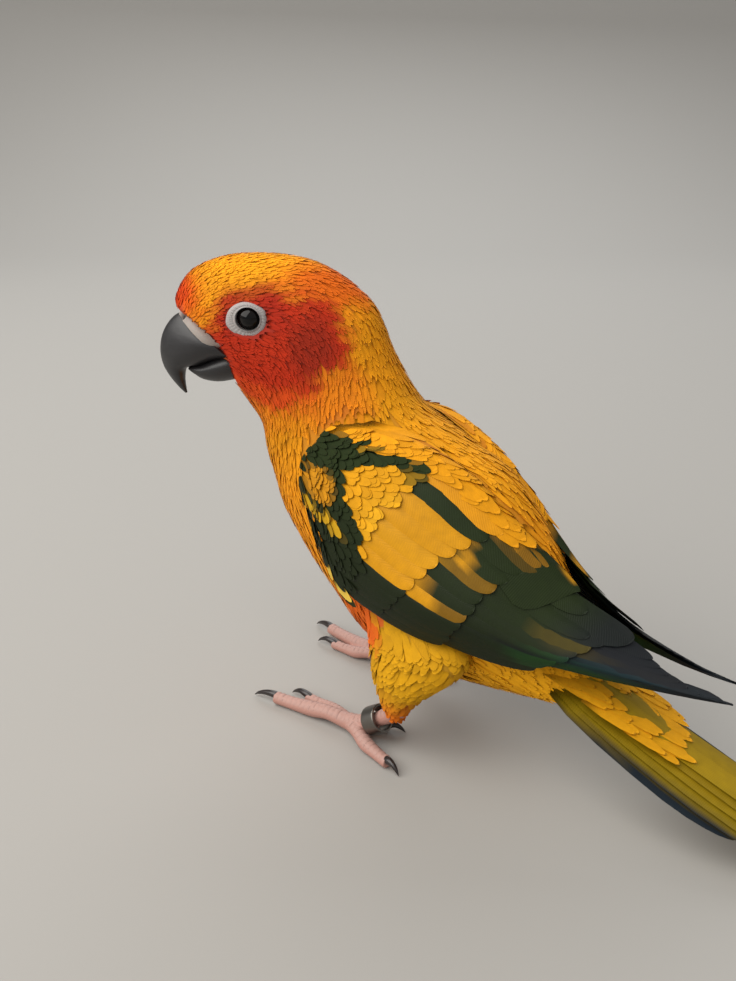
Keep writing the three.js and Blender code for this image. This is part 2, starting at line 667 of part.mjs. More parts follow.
// The origin is the middle of the footprint, at floor level.
const box = new THREE.Box3();
for (const { geometry } of pieces) {
  geometry.computeBoundingBox();
  box.union(geometry.boundingBox);
}
const shift = vec(-(box.min.x + box.max.x) / 2, -(box.min.y + box.max.y) / 2, -box.min.z);
for (const { name, geometry, look } of pieces) {
  geometry.translate(shift.x, shift.y, shift.z);
  const mesh = new THREE.Mesh(settle(geometry), look);
  mesh.name = name;
  bird.add(mesh);
}
bird.userData.shift = shift.toArray();

export default bird;
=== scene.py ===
# %% [markdown]
# # A sun conure, feather by feather
# The bird is a small parrot that stands on the floor with its head turned a little to its left.
# Its shape is a set of smooth surfaces: one for the body from bill to tail, one for each folded
# wing and one for the tail. A bare skin lies just under those surfaces, and thousands of thin
# feathers, each a closed solid of a few dozen faces, grow out of it and lie along them.

import bpy
import numpy as np
from mathutils import Matrix, Vector


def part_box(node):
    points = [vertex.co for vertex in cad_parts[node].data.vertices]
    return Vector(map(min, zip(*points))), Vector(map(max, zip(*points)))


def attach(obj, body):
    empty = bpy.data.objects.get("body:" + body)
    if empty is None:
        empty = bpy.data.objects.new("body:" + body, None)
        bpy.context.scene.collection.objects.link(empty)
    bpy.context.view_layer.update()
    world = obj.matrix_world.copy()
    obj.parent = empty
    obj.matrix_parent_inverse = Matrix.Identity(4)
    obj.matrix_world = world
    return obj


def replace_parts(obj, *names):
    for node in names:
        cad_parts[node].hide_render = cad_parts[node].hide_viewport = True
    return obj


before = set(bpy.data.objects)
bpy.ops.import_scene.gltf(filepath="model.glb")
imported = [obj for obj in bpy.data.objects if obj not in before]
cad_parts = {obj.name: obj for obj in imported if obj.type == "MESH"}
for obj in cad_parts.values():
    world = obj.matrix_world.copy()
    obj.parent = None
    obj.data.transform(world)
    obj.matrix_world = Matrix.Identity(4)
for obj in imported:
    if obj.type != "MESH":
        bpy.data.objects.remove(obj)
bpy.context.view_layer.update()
rng = np.random.default_rng(7)

# %% [markdown]
# ## Numbers first
# An animal could be sculpted by hand, but then no number in it could be changed later. Here a smooth
# curve through a short table gives every form. Catmull-Rom splines pass through each row of the
# table, so the rows can be measured on the real bird and typed in directly.

# %% A spline through the rows of a table
MM_PER_M = 1000
TINY = 1e-9


def spline(table, place):
    """Catmull-Rom: between rows 1 and 2 the value is half of
    2a + (c - z)u + (2z - 5a + 4c - d)u^2 + (3a - z - 3c + d)u^3, with z, a, c, d the four rows.
    Past either end it runs straight on with the slope it has there."""
    table = np.asarray(table, float)
    last = len(table) - 1
    at = np.clip(place, 0, last)
    i = np.minimum(np.floor(at).astype(int), last - 1)
    u = (at - i)[..., None]
    z, a = table[np.maximum(i - 1, 0)], table[i]
    c, d = table[i + 1], table[np.minimum(i + 2, last)]
    beyond = (place - at)[..., None]
    slope = np.where(beyond < 0, c - z, d - a) * beyond
    curve = 2 * a + (c - z) * u + (2 * z - 5 * a + 4 * c - d) * u**2
    curve = curve + (3 * a - z - 3 * c + d) * u**3
    return 0.5 * (curve + slope)


def unit(vectors):
    """Each vector divided by its own length."""
    return vectors / np.maximum(np.linalg.norm(vectors, axis=-1, keepdims=True), TINY)


def smooth(x, low, high):
    """0 below low, 1 above high and 3t^2 - 2t^3 between them."""
    t = np.clip((x - low) / (high - low), 0, 1)
    return t * t * (3 - 2 * t)


def full_turn(count):
    """Angles once round, in even steps."""
    return np.linspace(0, 2 * np.pi, count, endpoint=False)


print("halfway along three rows of 0, 1 and 4:", spline([[0], [1], [4]], np.array(1.5)))

# %% [markdown]
# ## The body's surface
# A bird's trunk is egg-shaped in every section, deepest at the breast, and its neck bends while the
# head looks aside. Rings round a bent axis would pinch at the neck, so each of the fourteen sections
# has its back end and its front end given in the bird's plane of symmetry, which is turned by 27
# degrees at the head. Two numbers then name a place on the body: how far along the row of sections
# it is, and the angle from the back round to the left. All lengths here are millimetres.

# %% Body sections and the surface through them
NECK_X = -8.0
HEAD_TURN = 27
HEAD_YAW = np.radians(HEAD_TURN)
SECTIONS = [
    # back: ahead, height; front: ahead, height; half width, skew, turn
    [51.8, 122.6, 40.0, 105.5, 6.4, 0.00, HEAD_TURN],
    [52.6, 127.6, 37.5, 103.3, 8.0, 0.05, HEAD_TURN],
    [46.5, 135.4, 34.5, 100.3, 11.2, 0.00, HEAD_TURN],
    [32.5, 139.4, 31.5, 96.5, 13.9, -0.05, HEAD_TURN],
    [13.0, 137.6, 28.5, 91.0, 15.2, -0.10, HEAD_TURN],
    [-2.5, 127.3, 28.0, 83.5, 16.0, -0.08, 24],
    [-9.5, 112.5, 26.8, 75.0, 17.4, 0.00, 16],
    [-17.5, 100.5, 23.8, 62.0, 20.0, 0.05, 7],
    [-31.5, 93.5, 15.5, 50.0, 22.0, 0.00, 2],
    [-47.5, 86.0, 5.5, 39.0, 22.3, -0.05, 0],
    [-58.5, 74.0, -6.5, 28.0, 21.0, -0.10, 0],
    [-66.0, 61.5, -24.0, 22.5, 17.5, -0.10, 0],
    [-71.0, 48.5, -43.0, 22.0, 12.5, 0.00, 0],
    [-75.0, 37.5, -61.0, 23.5, 8.5, 0.00, 0],
]


def side_point(ahead, height, yaw):
    """A point of the upright plane through the neck line that is turned by yaw."""
    return np.stack([NECK_X - ahead * np.cos(yaw), -ahead * np.sin(yaw), height + 0 * ahead], -1)


def section_point(row, yaw, angle, lift):
    """middle + up cos(angle) + left sin(angle)(1 + skew cos(angle)), both axes longer by lift."""
    back = side_point(row[..., 0], row[..., 1], yaw)
    front = side_point(row[..., 2], row[..., 3], yaw)
    middle = (back + front) / 2
    up = back - middle
    size = np.linalg.norm(up, axis=-1)
    up = up * ((size + lift) / size)[..., None]
    left = np.stack([np.sin(yaw), -np.cos(yaw), 0 * yaw], -1) * (row[..., 4] + lift)[..., None]
    c, s = np.cos(angle)[..., None], np.sin(angle)[..., None]
    return middle + up * c + left * s * (1 + row[..., 5:6] * c)


def body(place, angle, lift=0.0):
    """The body's surface: place counts sections, angle goes from the back to the left."""
    place, angle, lift = np.broadcast_arrays(*map(np.asarray, (place, angle, lift * 1.0)))
    row = spline(SECTIONS, place)
    return section_point(row, np.radians(row[..., 6]), angle, lift)


def head_place(ahead, aside, height):
    """A point given in the turned head's own directions."""
    left = np.array([np.sin(HEAD_YAW), -np.cos(HEAD_YAW), 0])
    ahead, aside, height = np.broadcast_arrays(*(np.asarray(a, float) for a in (ahead, aside, height)))
    return side_point(ahead, height, HEAD_YAW + 0 * ahead) + aside[..., None] * left


def in_head(points):
    """The other way: points as ahead, to the left and height of the turned head."""
    x, y = points[..., 0] - NECK_X, points[..., 1]
    c, s = np.cos(HEAD_YAW), np.sin(HEAD_YAW)
    return -x * c - y * s, x * s - y * c, points[..., 2]


EYE = dict(ahead=28.8, aside=10.9, height=124.0, radius=3.5)
low, high = (np.array(corner) * MM_PER_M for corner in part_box("eye_left"))
SHIFT = (low + high) / 2 - head_place(EYE["ahead"], EYE["aside"], EYE["height"])
print("the solids' origin in the bird's own frame, mm:", np.round(-SHIFT, 2))

# %% [markdown]
# ## From arrays to meshes
# A mesh could be built face by face, which takes minutes for a coat like this one. Blender also
# takes flat lists of points and faces, which is quick. One helper does that for every piece and
# stores what the materials read: a colour at each point, a UV map in centimetres for fine pattern,
# and a second UV map named OFBake that keeps each feather's own spot for later baking.

# %% One helper that makes a mesh object
pieces_made = {}


def to_linear(hex_colour):
    """sRGB hex to linear: c/12.92 below 0.04045, else ((c + 0.055)/1.055)^2.4."""
    value = hex_colour.lstrip("#")
    c = np.array([int(value[i : i + 2], 16) for i in (0, 2, 4)]) / 255
    return np.where(c <= 0.04045, c / 12.92, ((c + 0.055) / 1.055) ** 2.4)


def make_mesh(name, points, faces, material, colours=None, uvs=None, sharp=None):
    """points in mm in the bird's frame; faces one array of corners, or a list of such arrays.
    An edge is sharp where both its points are."""
    faces = faces if isinstance(faces, list) else [faces]
    corners = np.concatenate([f.ravel() for f in faces])
    sizes = np.concatenate([np.full(len(f), f.shape[1]) for f in faces])
    starts = np.concatenate([[0], np.cumsum(sizes)[:-1]])
    mesh = bpy.data.meshes.new(name)
    mesh.vertices.add(len(points))
    mesh.vertices.foreach_set("co", ((points + SHIFT) / MM_PER_M).astype(np.float32).ravel())
    mesh.loops.add(len(corners))
    mesh.loops.foreach_set("vertex_index", corners.astype(np.int32))
    mesh.polygons.add(len(sizes))
    mesh.polygons.foreach_set("loop_start", starts.astype(np.int32))
    mesh.polygons.foreach_set("use_smooth", np.ones(len(sizes), bool))
    mesh.update(calc_edges=True)
    if sharp is not None:
        pairs = np.empty(len(mesh.edges) * 2, np.int32)
        mesh.edges.foreach_get("vertices", pairs)
        flags = sharp[pairs.reshape(-1, 2)].all(axis=1)
        mesh.attributes.new("sharp_edge", "BOOLEAN", "EDGE").data.foreach_set("value", flags)
    if colours is not None:
        layer = mesh.attributes.new("plumage", "FLOAT_COLOR", "POINT")
        rgba = np.concatenate([colours, np.ones((len(colours), 1))], 1)
        layer.data.foreach_set("color", rgba.astype(np.float32).ravel())
    for uv_name, uv in (uvs or {}).items():
        layer = mesh.uv_layers.new(name=uv_name)
        layer.uv.foreach_set("vector", uv[corners].astype(np.float32).ravel())
    mesh.validate()
    mesh.materials.append(material)
    piece = bpy.data.objects.new(name, mesh)
    bpy.context.scene.collection.objects.link(piece)
    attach(piece, "root")
    triangles = int((sizes - 2).sum())
    pieces_made[name] = triangles
    print(f"{name}: {len(points)} points, {triangles} triangles")
    return piece


def grid_faces(rows, cols):
    """Quads between neighbouring rows of a grid whose last column meets its first."""
    r = np.arange(rows - 1)[:, None]
    c = np.arange(cols)[None, :]
    d = (c + 1) % cols
    a, b = r * cols + c, r * cols + d
    return np.stack([a, b, b + cols, a + cols], -1).reshape(-1, 4)


def closed_tube(grid):
    """A grid of rings (rows, cols, 3) as points and outward faces, each end closed by a fan."""
    rows, cols = grid.shape[:2]
    points = np.concatenate([grid.reshape(-1, 3), grid[0].mean(0)[None], grid[-1].mean(0)[None]])
    c = np.arange(cols)
    d = (c + 1) % cols
    last = (rows - 1) * cols
    start_fan = np.stack([np.full(cols, rows * cols), d, c], -1)
    end_fan = np.stack([np.full(cols, rows * cols + 1), last + c, last + d], -1)
    quads = grid_faces(rows, cols)
    return outward(points, [quads, np.concatenate([start_fan, end_fan])])


def closed_ring(grid):
    """A grid whose last row meets its first one too, as points and outward faces."""
    rows, cols = grid.shape[:2]
    c = np.arange(cols)
    d = (c + 1) % cols
    last = (rows - 1) * cols
    seam = np.stack([last + c, last + d, d, c], -1)
    return outward(grid.reshape(-1, 3), [np.concatenate([grid_faces(rows, cols), seam])])


def outward(points, faces):
    """The faces turned round where the signed volume, a sum of a.(b x c)/6, is below zero."""
    tris = np.concatenate([f[:, [0, k, k + 1]] for f in faces for k in range(1, f.shape[1] - 1)])
    a, b, c = points[tris[:, 0]], points[tris[:, 1]], points[tris[:, 2]]
    if np.einsum("ij,ij->", a - points[0], np.cross(b - points[0], c - points[0])) < 0:
        faces = [f[:, ::-1] for f in faces]
    return points, faces


print("a ring of 3 by 4 points has", len(grid_faces(3, 4)), "open quads")

# %% [markdown]
# ## What a feather is
# A feather is a thin, slightly arched blade on a central shaft. Hair strands would look like fur,
# and flat cards with a picture have no edge that throws a shadow, so each one here is a closed
# lens-like solid: rows of points across it from the root to the tip, with a raised middle. It is
# laid on a surface by the surface's own two numbers, so it hugs every curve, and it starts at the
# skin and ends at the coat's outer face, so that it lies over the ones behind it like a roof tile.

# %% The plan of one feather, shared by thousands
UNDERSIDE = 0.35


def vane_plan(rows, widths, cols, thick):
    """For each point: share of the length, share of the half width, height in mm and rim or not.
    The arch is thick(1 - c^2) above the rim and about a third of that below it, and thins out
    towards the tip."""
    across = np.linspace(-1, 1, cols)
    ring = np.concatenate([across, across[-2:0:-1]])
    under = np.concatenate([np.zeros(cols), np.ones(cols - 2)])
    rows, widths = np.asarray(rows, float), np.asarray(widths, float)
    taper = np.clip(1.25 - rows, 0.25, 1)[:, None]
    height = thick * (1 - ring**2) * np.where(under > 0, -UNDERSIDE, 1.0) * taper
    size = len(ring)
    n = len(rows)
    plan = dict(
        along=np.repeat(rows, size),
        across=(widths[:, None] * ring).ravel(),
        height=height.ravel(),
        rim=np.tile(np.abs(ring) > 0.999, n),
        count=n * size,
    )
    quads = grid_faces(n, size)
    inner = np.arange(1, cols - 1)
    caps = []
    # The root and the tip are closed by strips from the upper points to the ones right below.
    for start, order in ((0, 1), ((n - 1) * size, -1)):
        left, right = start, start + cols - 1
        tops = np.concatenate([[left], start + inner, [right]])
        lows = np.concatenate([[left], start + size - inner, [right]])
        for k in range(cols - 1):
            strip = dict.fromkeys([tops[k], tops[k + 1], lows[k + 1], lows[k]])
            caps.append(list(strip)[::order])
    cap_quads = np.array([strip for strip in caps if len(strip) == 4], int)
    plan["quads"] = np.concatenate([quads, cap_quads.reshape(-1, 4)])
    plan["tris"] = np.array([strip for strip in caps if len(strip) == 3], int).reshape(-1, 3)
    return plan


SMALL_ROWS = [0, 0.4, 0.75, 0.93, 1]
SMALL_WIDTHS = [0.6, 1.0, 0.85, 0.5, 0.08]
SMALL = vane_plan(SMALL_ROWS, SMALL_WIDTHS, 3, 0.07)
print("a small feather has", SMALL["count"], "points")


# %% Laying feathers on a surface
def frame_at(surface, u, v, step=0.01):
    """The two rates of change of a surface, from points a small step to either side."""
    du = (surface(u + step, v) - surface(u - step, v)) / (2 * step)
    dv = (surface(u, v + step) - surface(u, v - step)) / (2 * step)
    return du, dv


def square_on(run, other):
    """What is left of a vector when its share along the unit vector run is taken away."""
    return other - run * (other * run).sum(-1, keepdims=True)


def lie(surface, u, v, length, turn):
    """Where a feather rooted at (u, v) ends: length mm along u, turned by an angle in the surface."""
    du, dv = frame_at(surface, u, v)
    run = unit(du)
    side = unit(square_on(run, dv))
    forward, sideways = length * np.cos(turn), length * np.sin(turn)
    end_v = sideways / (dv * side).sum(-1)
    end_u = (forward - end_v * (dv * run).sum(-1)) / np.linalg.norm(du, axis=-1)
    return u + end_u, v + end_v


THINNEST = 1e-3
FULL_ARCH_WIDTH = 3


def lay_vanes(surface, plan, start, end, width, lifts, tilt=0.0, arch=0.0):
    """Points (feathers, points of the plan, 3). A point lies at start + (end - start) r, moved
    sideways by its share of the half width, and raised by a line between the two lifts that
    starts a little late. A feather under 3 mm wide has a lower arch."""
    r, c = plan["along"][None, :], plan["across"][None, :]
    u = start[0][:, None] + (end[0] - start[0])[:, None] * r
    v = start[1][:, None] + (end[1] - start[1])[:, None] * r
    du, dv = frame_at(surface, u, v)
    wide = np.linalg.norm(square_on(unit(du), dv), axis=-1)
    v = v + c * (width[:, None] / 2) / np.maximum(wide, THINNEST)
    lift = lifts[0][:, None] + (lifts[1] - lifts[0])[:, None] * r**1.15
    arched = plan["height"][None, :] * np.minimum(1, width[:, None] / FULL_ARCH_WIDTH)
    return surface(u, v, lift + arched - tilt * c - arch * c**2)


# %% [markdown]
# A coat is many feathers in one mesh, since fifteen thousand objects would slow Blender down. The
# finish reads a map in centimetres on each feather for its barbs, and OFBake gives each feather a
# small patch at its root's own place on the surface unrolled flat.

# %% Many feathers as one mesh
MM_PER_CM = 10
BAKE_PATCH = 0.003
MOST_TRIANGLES = 180000


def coat_mesh(name, points, plan, colours, home, sizes, material):
    """Joins feathers into meshes; a long coat is split so that each stays under the limit."""
    per = plan["quads"].shape[0] * 2 + plan["tris"].shape[0]
    most = MOST_TRIANGLES // per
    made = []
    parts = int(np.ceil(len(points) / most))
    for k, chunk in enumerate(np.array_split(np.arange(len(points)), parts)):
        n, m = len(chunk), plan["count"]
        start = (np.arange(n) * m)[:, None, None]
        faces = [(plan[key][None] + start).reshape(-1, plan[key].shape[1]) for key in ("quads", "tris")]
        flat = points[chunk].reshape(-1, 3)
        flat, faces = outward(flat, [f for f in faces if len(f)])
        r, c = plan["along"], plan["across"]
        barbs = np.stack([c * sizes[chunk, 1:2] / 2, r * sizes[chunk, 0:1]], -1) / MM_PER_CM
        bake = home[chunk][:, None, :] + BAKE_PATCH * np.stack([c / 2, r - 0.5], -1)[None]
        maps = {"barbs": barbs.reshape(-1, 2), "OFBake": bake.reshape(-1, 2)}
        title = name if parts == 1 else f"{name}_{k + 1}"
        tints = colours[chunk].reshape(-1, 3)
        rims = np.tile(plan["rim"], n)
        made.append(make_mesh(title, flat, faces, material, tints, maps, rims))
    return made


# %% [markdown]
# ## Materials
# Feather is keratin, the stuff of nails: matt where barbs scatter the light, a little glossy along
# them. A picture could give the colour, but it would blur at the edge of each feather. So the colour
# comes from the points of the mesh, and skin and feathers share one pattern.


# %% Nodes by one small helper
def node(tree, kind, inputs=None, **properties):
    """Adds a node with its own properties; inputs are values, or sockets that are linked."""
    made = tree.nodes.new(kind)
    for key, value in properties.items():
        setattr(made, key, value)
    for socket, value in (inputs or {}).items():
        if isinstance(value, bpy.types.NodeSocket):
            tree.links.new(value, made.inputs[socket])
        else:
            made.inputs[socket].default_value = value
    return made


def new_material(name, **settings):
    """A Principled material with constant values on the shader's own sockets."""
    material = bpy.data.materials.new(name)
    material.use_nodes = True
    shader = material.node_tree.nodes["Principled BSDF"]
    for key, value in settings.items():
        shader.inputs[key.replace("_", " ")].default_value = value
    return material, material.node_tree, shader


def plumage(tree):
    """The colour that was stored at the points of the mesh."""
    stored = node(tree, "ShaderNodeAttribute", attribute_name="plumage", attribute_type="GEOMETRY")
    return stored.outputs["Color"]


# %% Barbed feather
BARB_ACROSS, BARB_ALONG = 0.77, 0.64


def feather_material(name, roughness, spacing_mm, depth_mm):
    """Barbs run out from the shaft at about 40 degrees: stripes of 0.64 along - 0.77 |across|. A
    Wave texture of scale 1 has about pi waves in a unit, here a centimetre. A noise of about 2 mm
    stands for clumps of barbs."""
    material, tree, shader = new_material(name, Roughness=roughness, IOR=1.54, Specular_IOR_Level=0.22)
    place = node(tree, "ShaderNodeUVMap", uv_map="barbs")
    split = node(tree, "ShaderNodeSeparateXYZ", {"Vector": place.outputs["UV"]})
    aside = node(tree, "ShaderNodeMath", {0: split.outputs["X"]}, operation="ABSOLUTE")
    slant = node(tree, "ShaderNodeMath", {0: aside.outputs[0], 1: -BARB_ACROSS}, operation="MULTIPLY")
    line = node(tree, "ShaderNodeMath", {0: split.outputs["Y"], 1: BARB_ALONG, 2: slant.outputs[0]},
                operation="MULTIPLY_ADD")
    ruled = node(tree, "ShaderNodeCombineXYZ", {"X": line.outputs[0]})
    waves_per_cm = MM_PER_CM / spacing_mm
    waves = node(tree, "ShaderNodeTexWave", {"Vector": ruled.outputs[0], "Scale": waves_per_cm / np.pi,
                                             "Distortion": 1.2, "Detail": 1.0})
    where = node(tree, "ShaderNodeTexCoord")
    clumps = node(tree, "ShaderNodeTexNoise",
                  {"Vector": where.outputs["Object"], "Scale": 420.0, "Detail": 3.0})
    shade = node(tree, "ShaderNodeMapRange",
                 {"Value": waves.outputs["Fac"], "To Min": 0.88, "To Max": 1.06})
    mottle = node(tree, "ShaderNodeMapRange",
                  {"Value": clumps.outputs["Fac"], "To Min": 0.82, "To Max": 1.18})
    both = node(tree, "ShaderNodeMath", {0: shade.outputs[0], 1: mottle.outputs[0]}, operation="MULTIPLY")
    tone = node(tree, "ShaderNodeVectorMath", {0: plumage(tree), "Scale": both.outputs[0]},
                operation="SCALE")
    bump = node(tree, "ShaderNodeBump", {"Height": waves.outputs["Fac"], "Strength": 0.6,
                                         "Distance": depth_mm / MM_PER_M})
    tree.links.new(tone.outputs[0], shader.inputs["Base Color"])
    tree.links.new(bump.outputs[0], shader.inputs["Normal"])
    return material


# Contour feathers are loose and matt; flight feathers are stiff, closed and a little glossier.
down = feather_material("loose_contour_feather", 0.82, 0.30, 0.02)
quill = feather_material("stiff_flight_feather", 0.58, 0.40, 0.04)
print("feather materials:", down.name, quill.name)


# %% [markdown]
# ## Wing, tail and thigh as surfaces
# A folded wing hugs the flank and no single bend gives its form, so it is a curved sheet with five
# lines drawn along it from shoulder to tip, the lowest along the edge and the highest beside the
# back. The tail is a strip that follows one curve down to the floor. A thigh is a stack of level
# ovals. Each answers the same three numbers as the body, so one way of laying feathers suits all.

# %% Sheets for wing, tail and thigh
WING_LINES = [
    [[-8, 22.5, 67], [-4, 24.8, 58.5], [5, 25.5, 50.5], [21, 25, 45.5], [40, 22, 42.5],
     [57, 17.5, 41], [79, 12, 41.5], [95, 8.5, 42.5], [105, 6.5, 43.5]],
    [[-14, 21.5, 74.5], [-3, 26.3, 68.5], [10, 28, 62], [26, 27.5, 56], [42, 24, 51.5],
     [58, 19, 47.5], [78, 12.5, 45], [94, 8.5, 44], [105, 6.2, 44]],
    [[-14, 19.5, 86.5], [1, 24, 83], [17, 24.5, 77], [31, 21.5, 69.5], [44, 19, 61.5],
     [58, 14.5, 54], [77, 9.5, 48.5], [93, 6.5, 45.5], [104, 5.5, 44.5]],
    [[-6, 17.5, 95.5], [10, 16.8, 95], [28, 12.5, 89], [41, 10, 79.5], [52, 8, 69],
     [63, 6, 59.5], [79, 4, 51], [93, 4, 47], [103, 4.5, 45]],
    [[1, 13.5, 98], [15, 10, 95.5], [31, 6.5, 87], [43, 5.5, 78], [54, 4.5, 69],
     [65, 4, 60], [80, 3, 52.5], [93, 3, 48], [102, 4, 46]],
]
TAIL_LINE = np.array([
    [58, 38], [70, 33.8], [84, 28.2], [98, 22.4], [112, 17.2],
    [126, 12.4], [140, 8], [156, 3.8], [176, 0.6],
])
TAIL_ROW = TAIL_LINE[1, 0] - TAIL_LINE[0, 0]
TAIL_ROOF = 0.006
SIDES = ((-1, "left"), (1, "right"))
FOOT = {-1: [0.0, -18.0], 1: [-12.5, 19.0]}
STRIDE = 10
NEAR = 0.05
THIGH = [
    # from the foot: back, outward, height; half length, half width
    [17.0, -2.5, 47.0, 15.0, 7.0],
    [23.5, -0.5, 38.0, 16.5, 8.0],
    [21.9, 0.0, 30.5, 14.0, 7.0],
    [18.5, 0.0, 22.5, 9.0, 5.6],
    [16.9, 0.0, 16.0, 5.0, 4.2],
    [16.8, 0.0, 11.8, 2.8, 2.8],
]


def wing_sheet(station, line):
    """Splines along the five lines at a station, then a spline across them."""
    along = np.stack([spline(row, station) for row in WING_LINES])
    return np.einsum("k...c,...k->...c", along, spline(np.eye(len(WING_LINES)), line))


def wing_surface(side):
    """The outer face of one wing; side is -1 for the left. Lift runs along the sheet's normal,
    the cross product of its two rates of change."""
    def surface(station, line, lift=0.0):
        station, line, lift = np.broadcast_arrays(*map(np.asarray, (station, line, lift * 1.0)))
        along = wing_sheet(station + NEAR, line) - wing_sheet(station - NEAR, line)
        across = wing_sheet(station, line + NEAR) - wing_sheet(station, line - NEAR)
        point = wing_sheet(station, line) + unit(np.cross(across, along)) * lift[..., None]
        return point * np.array([1, side, 1])
    return surface


def tail(back, aside, lift=0.0):
    """The tail's upper side, a low roof: height of the curve + lift - 0.006 aside^2. Here aside
    is counted to the left."""
    back, aside, lift = np.broadcast_arrays(*map(np.asarray, (back, aside * 1.0, lift * 1.0)))
    place = np.interp(back, TAIL_LINE[:, 0], np.arange(len(TAIL_LINE)))
    place = place + np.minimum(back - TAIL_LINE[0, 0], 0) / TAIL_ROW
    height = spline(TAIL_LINE[:, 1:], place)[..., 0]
    return np.stack([back + 0.0 * aside, -aside, height + lift - TAIL_ROOF * aside**2], -1)


def thigh_surface(side):
    """Level ovals; side is -1 for the left. The right leg stands further forward, so its thigh
    leans by a stride."""
    def surface(place, angle, lift=0.0):
        place, angle, lift = np.broadcast_arrays(*map(np.asarray, (place, angle, lift * 1.0)))
        row = spline(THIGH, place)
        lean = 0.0 if side < 0 else STRIDE * (1 - place / (len(THIGH) - 1))
        x = FOOT[side][0] + lean + row[..., 0] + (row[..., 3] + lift) * np.cos(angle)
        y = FOOT[side][1] + side * row[..., 1] + side * (row[..., 4] + lift) * np.sin(angle)
        return np.stack([x, y, row[..., 2]], -1)
    return surface


print("wing tip at", wing_sheet(np.array(8.0), np.array(1.0)).round(1))

# %% [markdown]
# ## Markings
# A sun conure is golden yellow with a red-orange face and a flush of the same on the belly. A
# yoke of yellow lies over the green wing. The marks could be painted on by hand; here they are soft
# patches round named places, which can be moved by changing a number. Every small feather takes the
# colour of one spot near its own tip, so that the edges of a patch are made of whole feathers.


# %% Soft patches of colour
def wander(points, size, seed):
    """Smooth noise of about -1 to 1: a sum of three sines with directions drawn from the seed."""
    draw = np.random.default_rng(seed)
    total = 0
    for _ in range(4):
        direction = draw.normal(size=3)
        total = total + np.sin(points @ direction / size * 2.2 + draw.uniform(0, 6.3))
    return total / 2.6


RAGGED_MM, RAGGED_SEED = 3.0, 11


def patch(points, centre, radii, soft=0.5, ragged=0.12):
    """1 inside an ellipsoid and 0 outside it, over a soft and slightly ragged edge."""
    away = np.linalg.norm((points - np.asarray(centre)) / np.asarray(radii), axis=-1)
    away = away + ragged * wander(points, RAGGED_MM, RAGGED_SEED)
    return 1 - smooth(away, 1 - soft / 2, 1 + soft / 2)


def paint(base, points, marks):
    """Lays marks, each (share, hex), one over another."""
    colour = np.broadcast_to(to_linear(base), points.shape).copy()
    for share, hex_colour in marks:
        colour += (to_linear(hex_colour) - colour) * share[..., None]
    return colour


def body_colour(points):
    """Head marks in the head's own directions, the rest in the bird's."""
    ahead, aside, height = in_head(points)
    head = np.stack([ahead, np.abs(aside), height], -1)
    twin = np.stack([points[..., 0], np.abs(points[..., 1]), height], -1)
    high = smooth(height, 60, 118)
    return paint("#e08f06", points, [
        (0.8 * high, "#e89606"),
        (patch(twin, (20, 0, 92), (34, 26, 16), 0.8), "#dd9304"),
        (patch(twin, (45, 0, 30), (34, 24, 16), 0.8), "#e5a008"),
        (patch(twin, (-24, 0, 62), (16, 20, 30), 0.9), "#ea9208"),
        (0.8 * patch(twin, (5, 17, 42), (13, 12, 13), 0.8), "#d9520f"),
        (0.7 * patch(head, (8, 15, 104), (12, 9, 10), 0.9), "#e0720a"),
        (0.8 * patch(head, (27, 0, 98), (14, 16, 7), 0.8), "#e27a0c"),
        (patch(head, (8, 4, 134), (15, 10, 9), 0.9), "#dc6406"),
        (patch(head, (24, 13, 106), (13, 9, 7), 0.8), "#d2480c"),
        (patch(head, (36, 12, 112), (10, 9, 9), 0.7), "#cc3c0c"),
        (patch(head, (22, 13, 119), (21, 10, 13), 0.45), "#b52a06"),
        (0.8 * patch(head, (12, 13, 117), (6, 7, 8), 0.9), "#8f2208"),
        (0.7 * patch(head, (29, 12, 125), (10, 6, 8), 0.6), "#a01f06"),
        (patch(head, (51, 0, 126), (9, 12, 9), 1.3), "#e0420a"),
        (patch(head, (33, 0, 141), (20, 12, 8), 0.9), "#f6a204"),
    ])


# %% Colours of the wing, tail and thigh
YOKE = [
    # station and line of each corner
    (0.95, 2.27), (1.2, 2.53), (2.05, 2.6), (2.85, 2.6),
    (3.33, 2.5), (3.5, 2.3), (3.2, 1.95), (2.82, 1.78),
    (3.1, 1.62), (3.48, 1.38), (3.2, 1.2), (2.75, 1.15),
    (2.55, 1.3), (1.95, 1.3), (1.58, 1.65), (1.15, 1.95),
]
UNIT_MM = 10


def within(x, y, corners):
    """True inside a polygon: a ray from the point crosses its edges an odd number of times."""
    odd = np.zeros(np.broadcast(x, y).shape, bool)
    for (x0, y0), (x1, y1) in zip(corners, corners[1:] + corners[:1]):
        odd ^= ((y0 > y) != (y1 > y)) & (x < x0 + (y - y0) * (x1 - x0) / (y1 - y0 + TINY))
    return odd


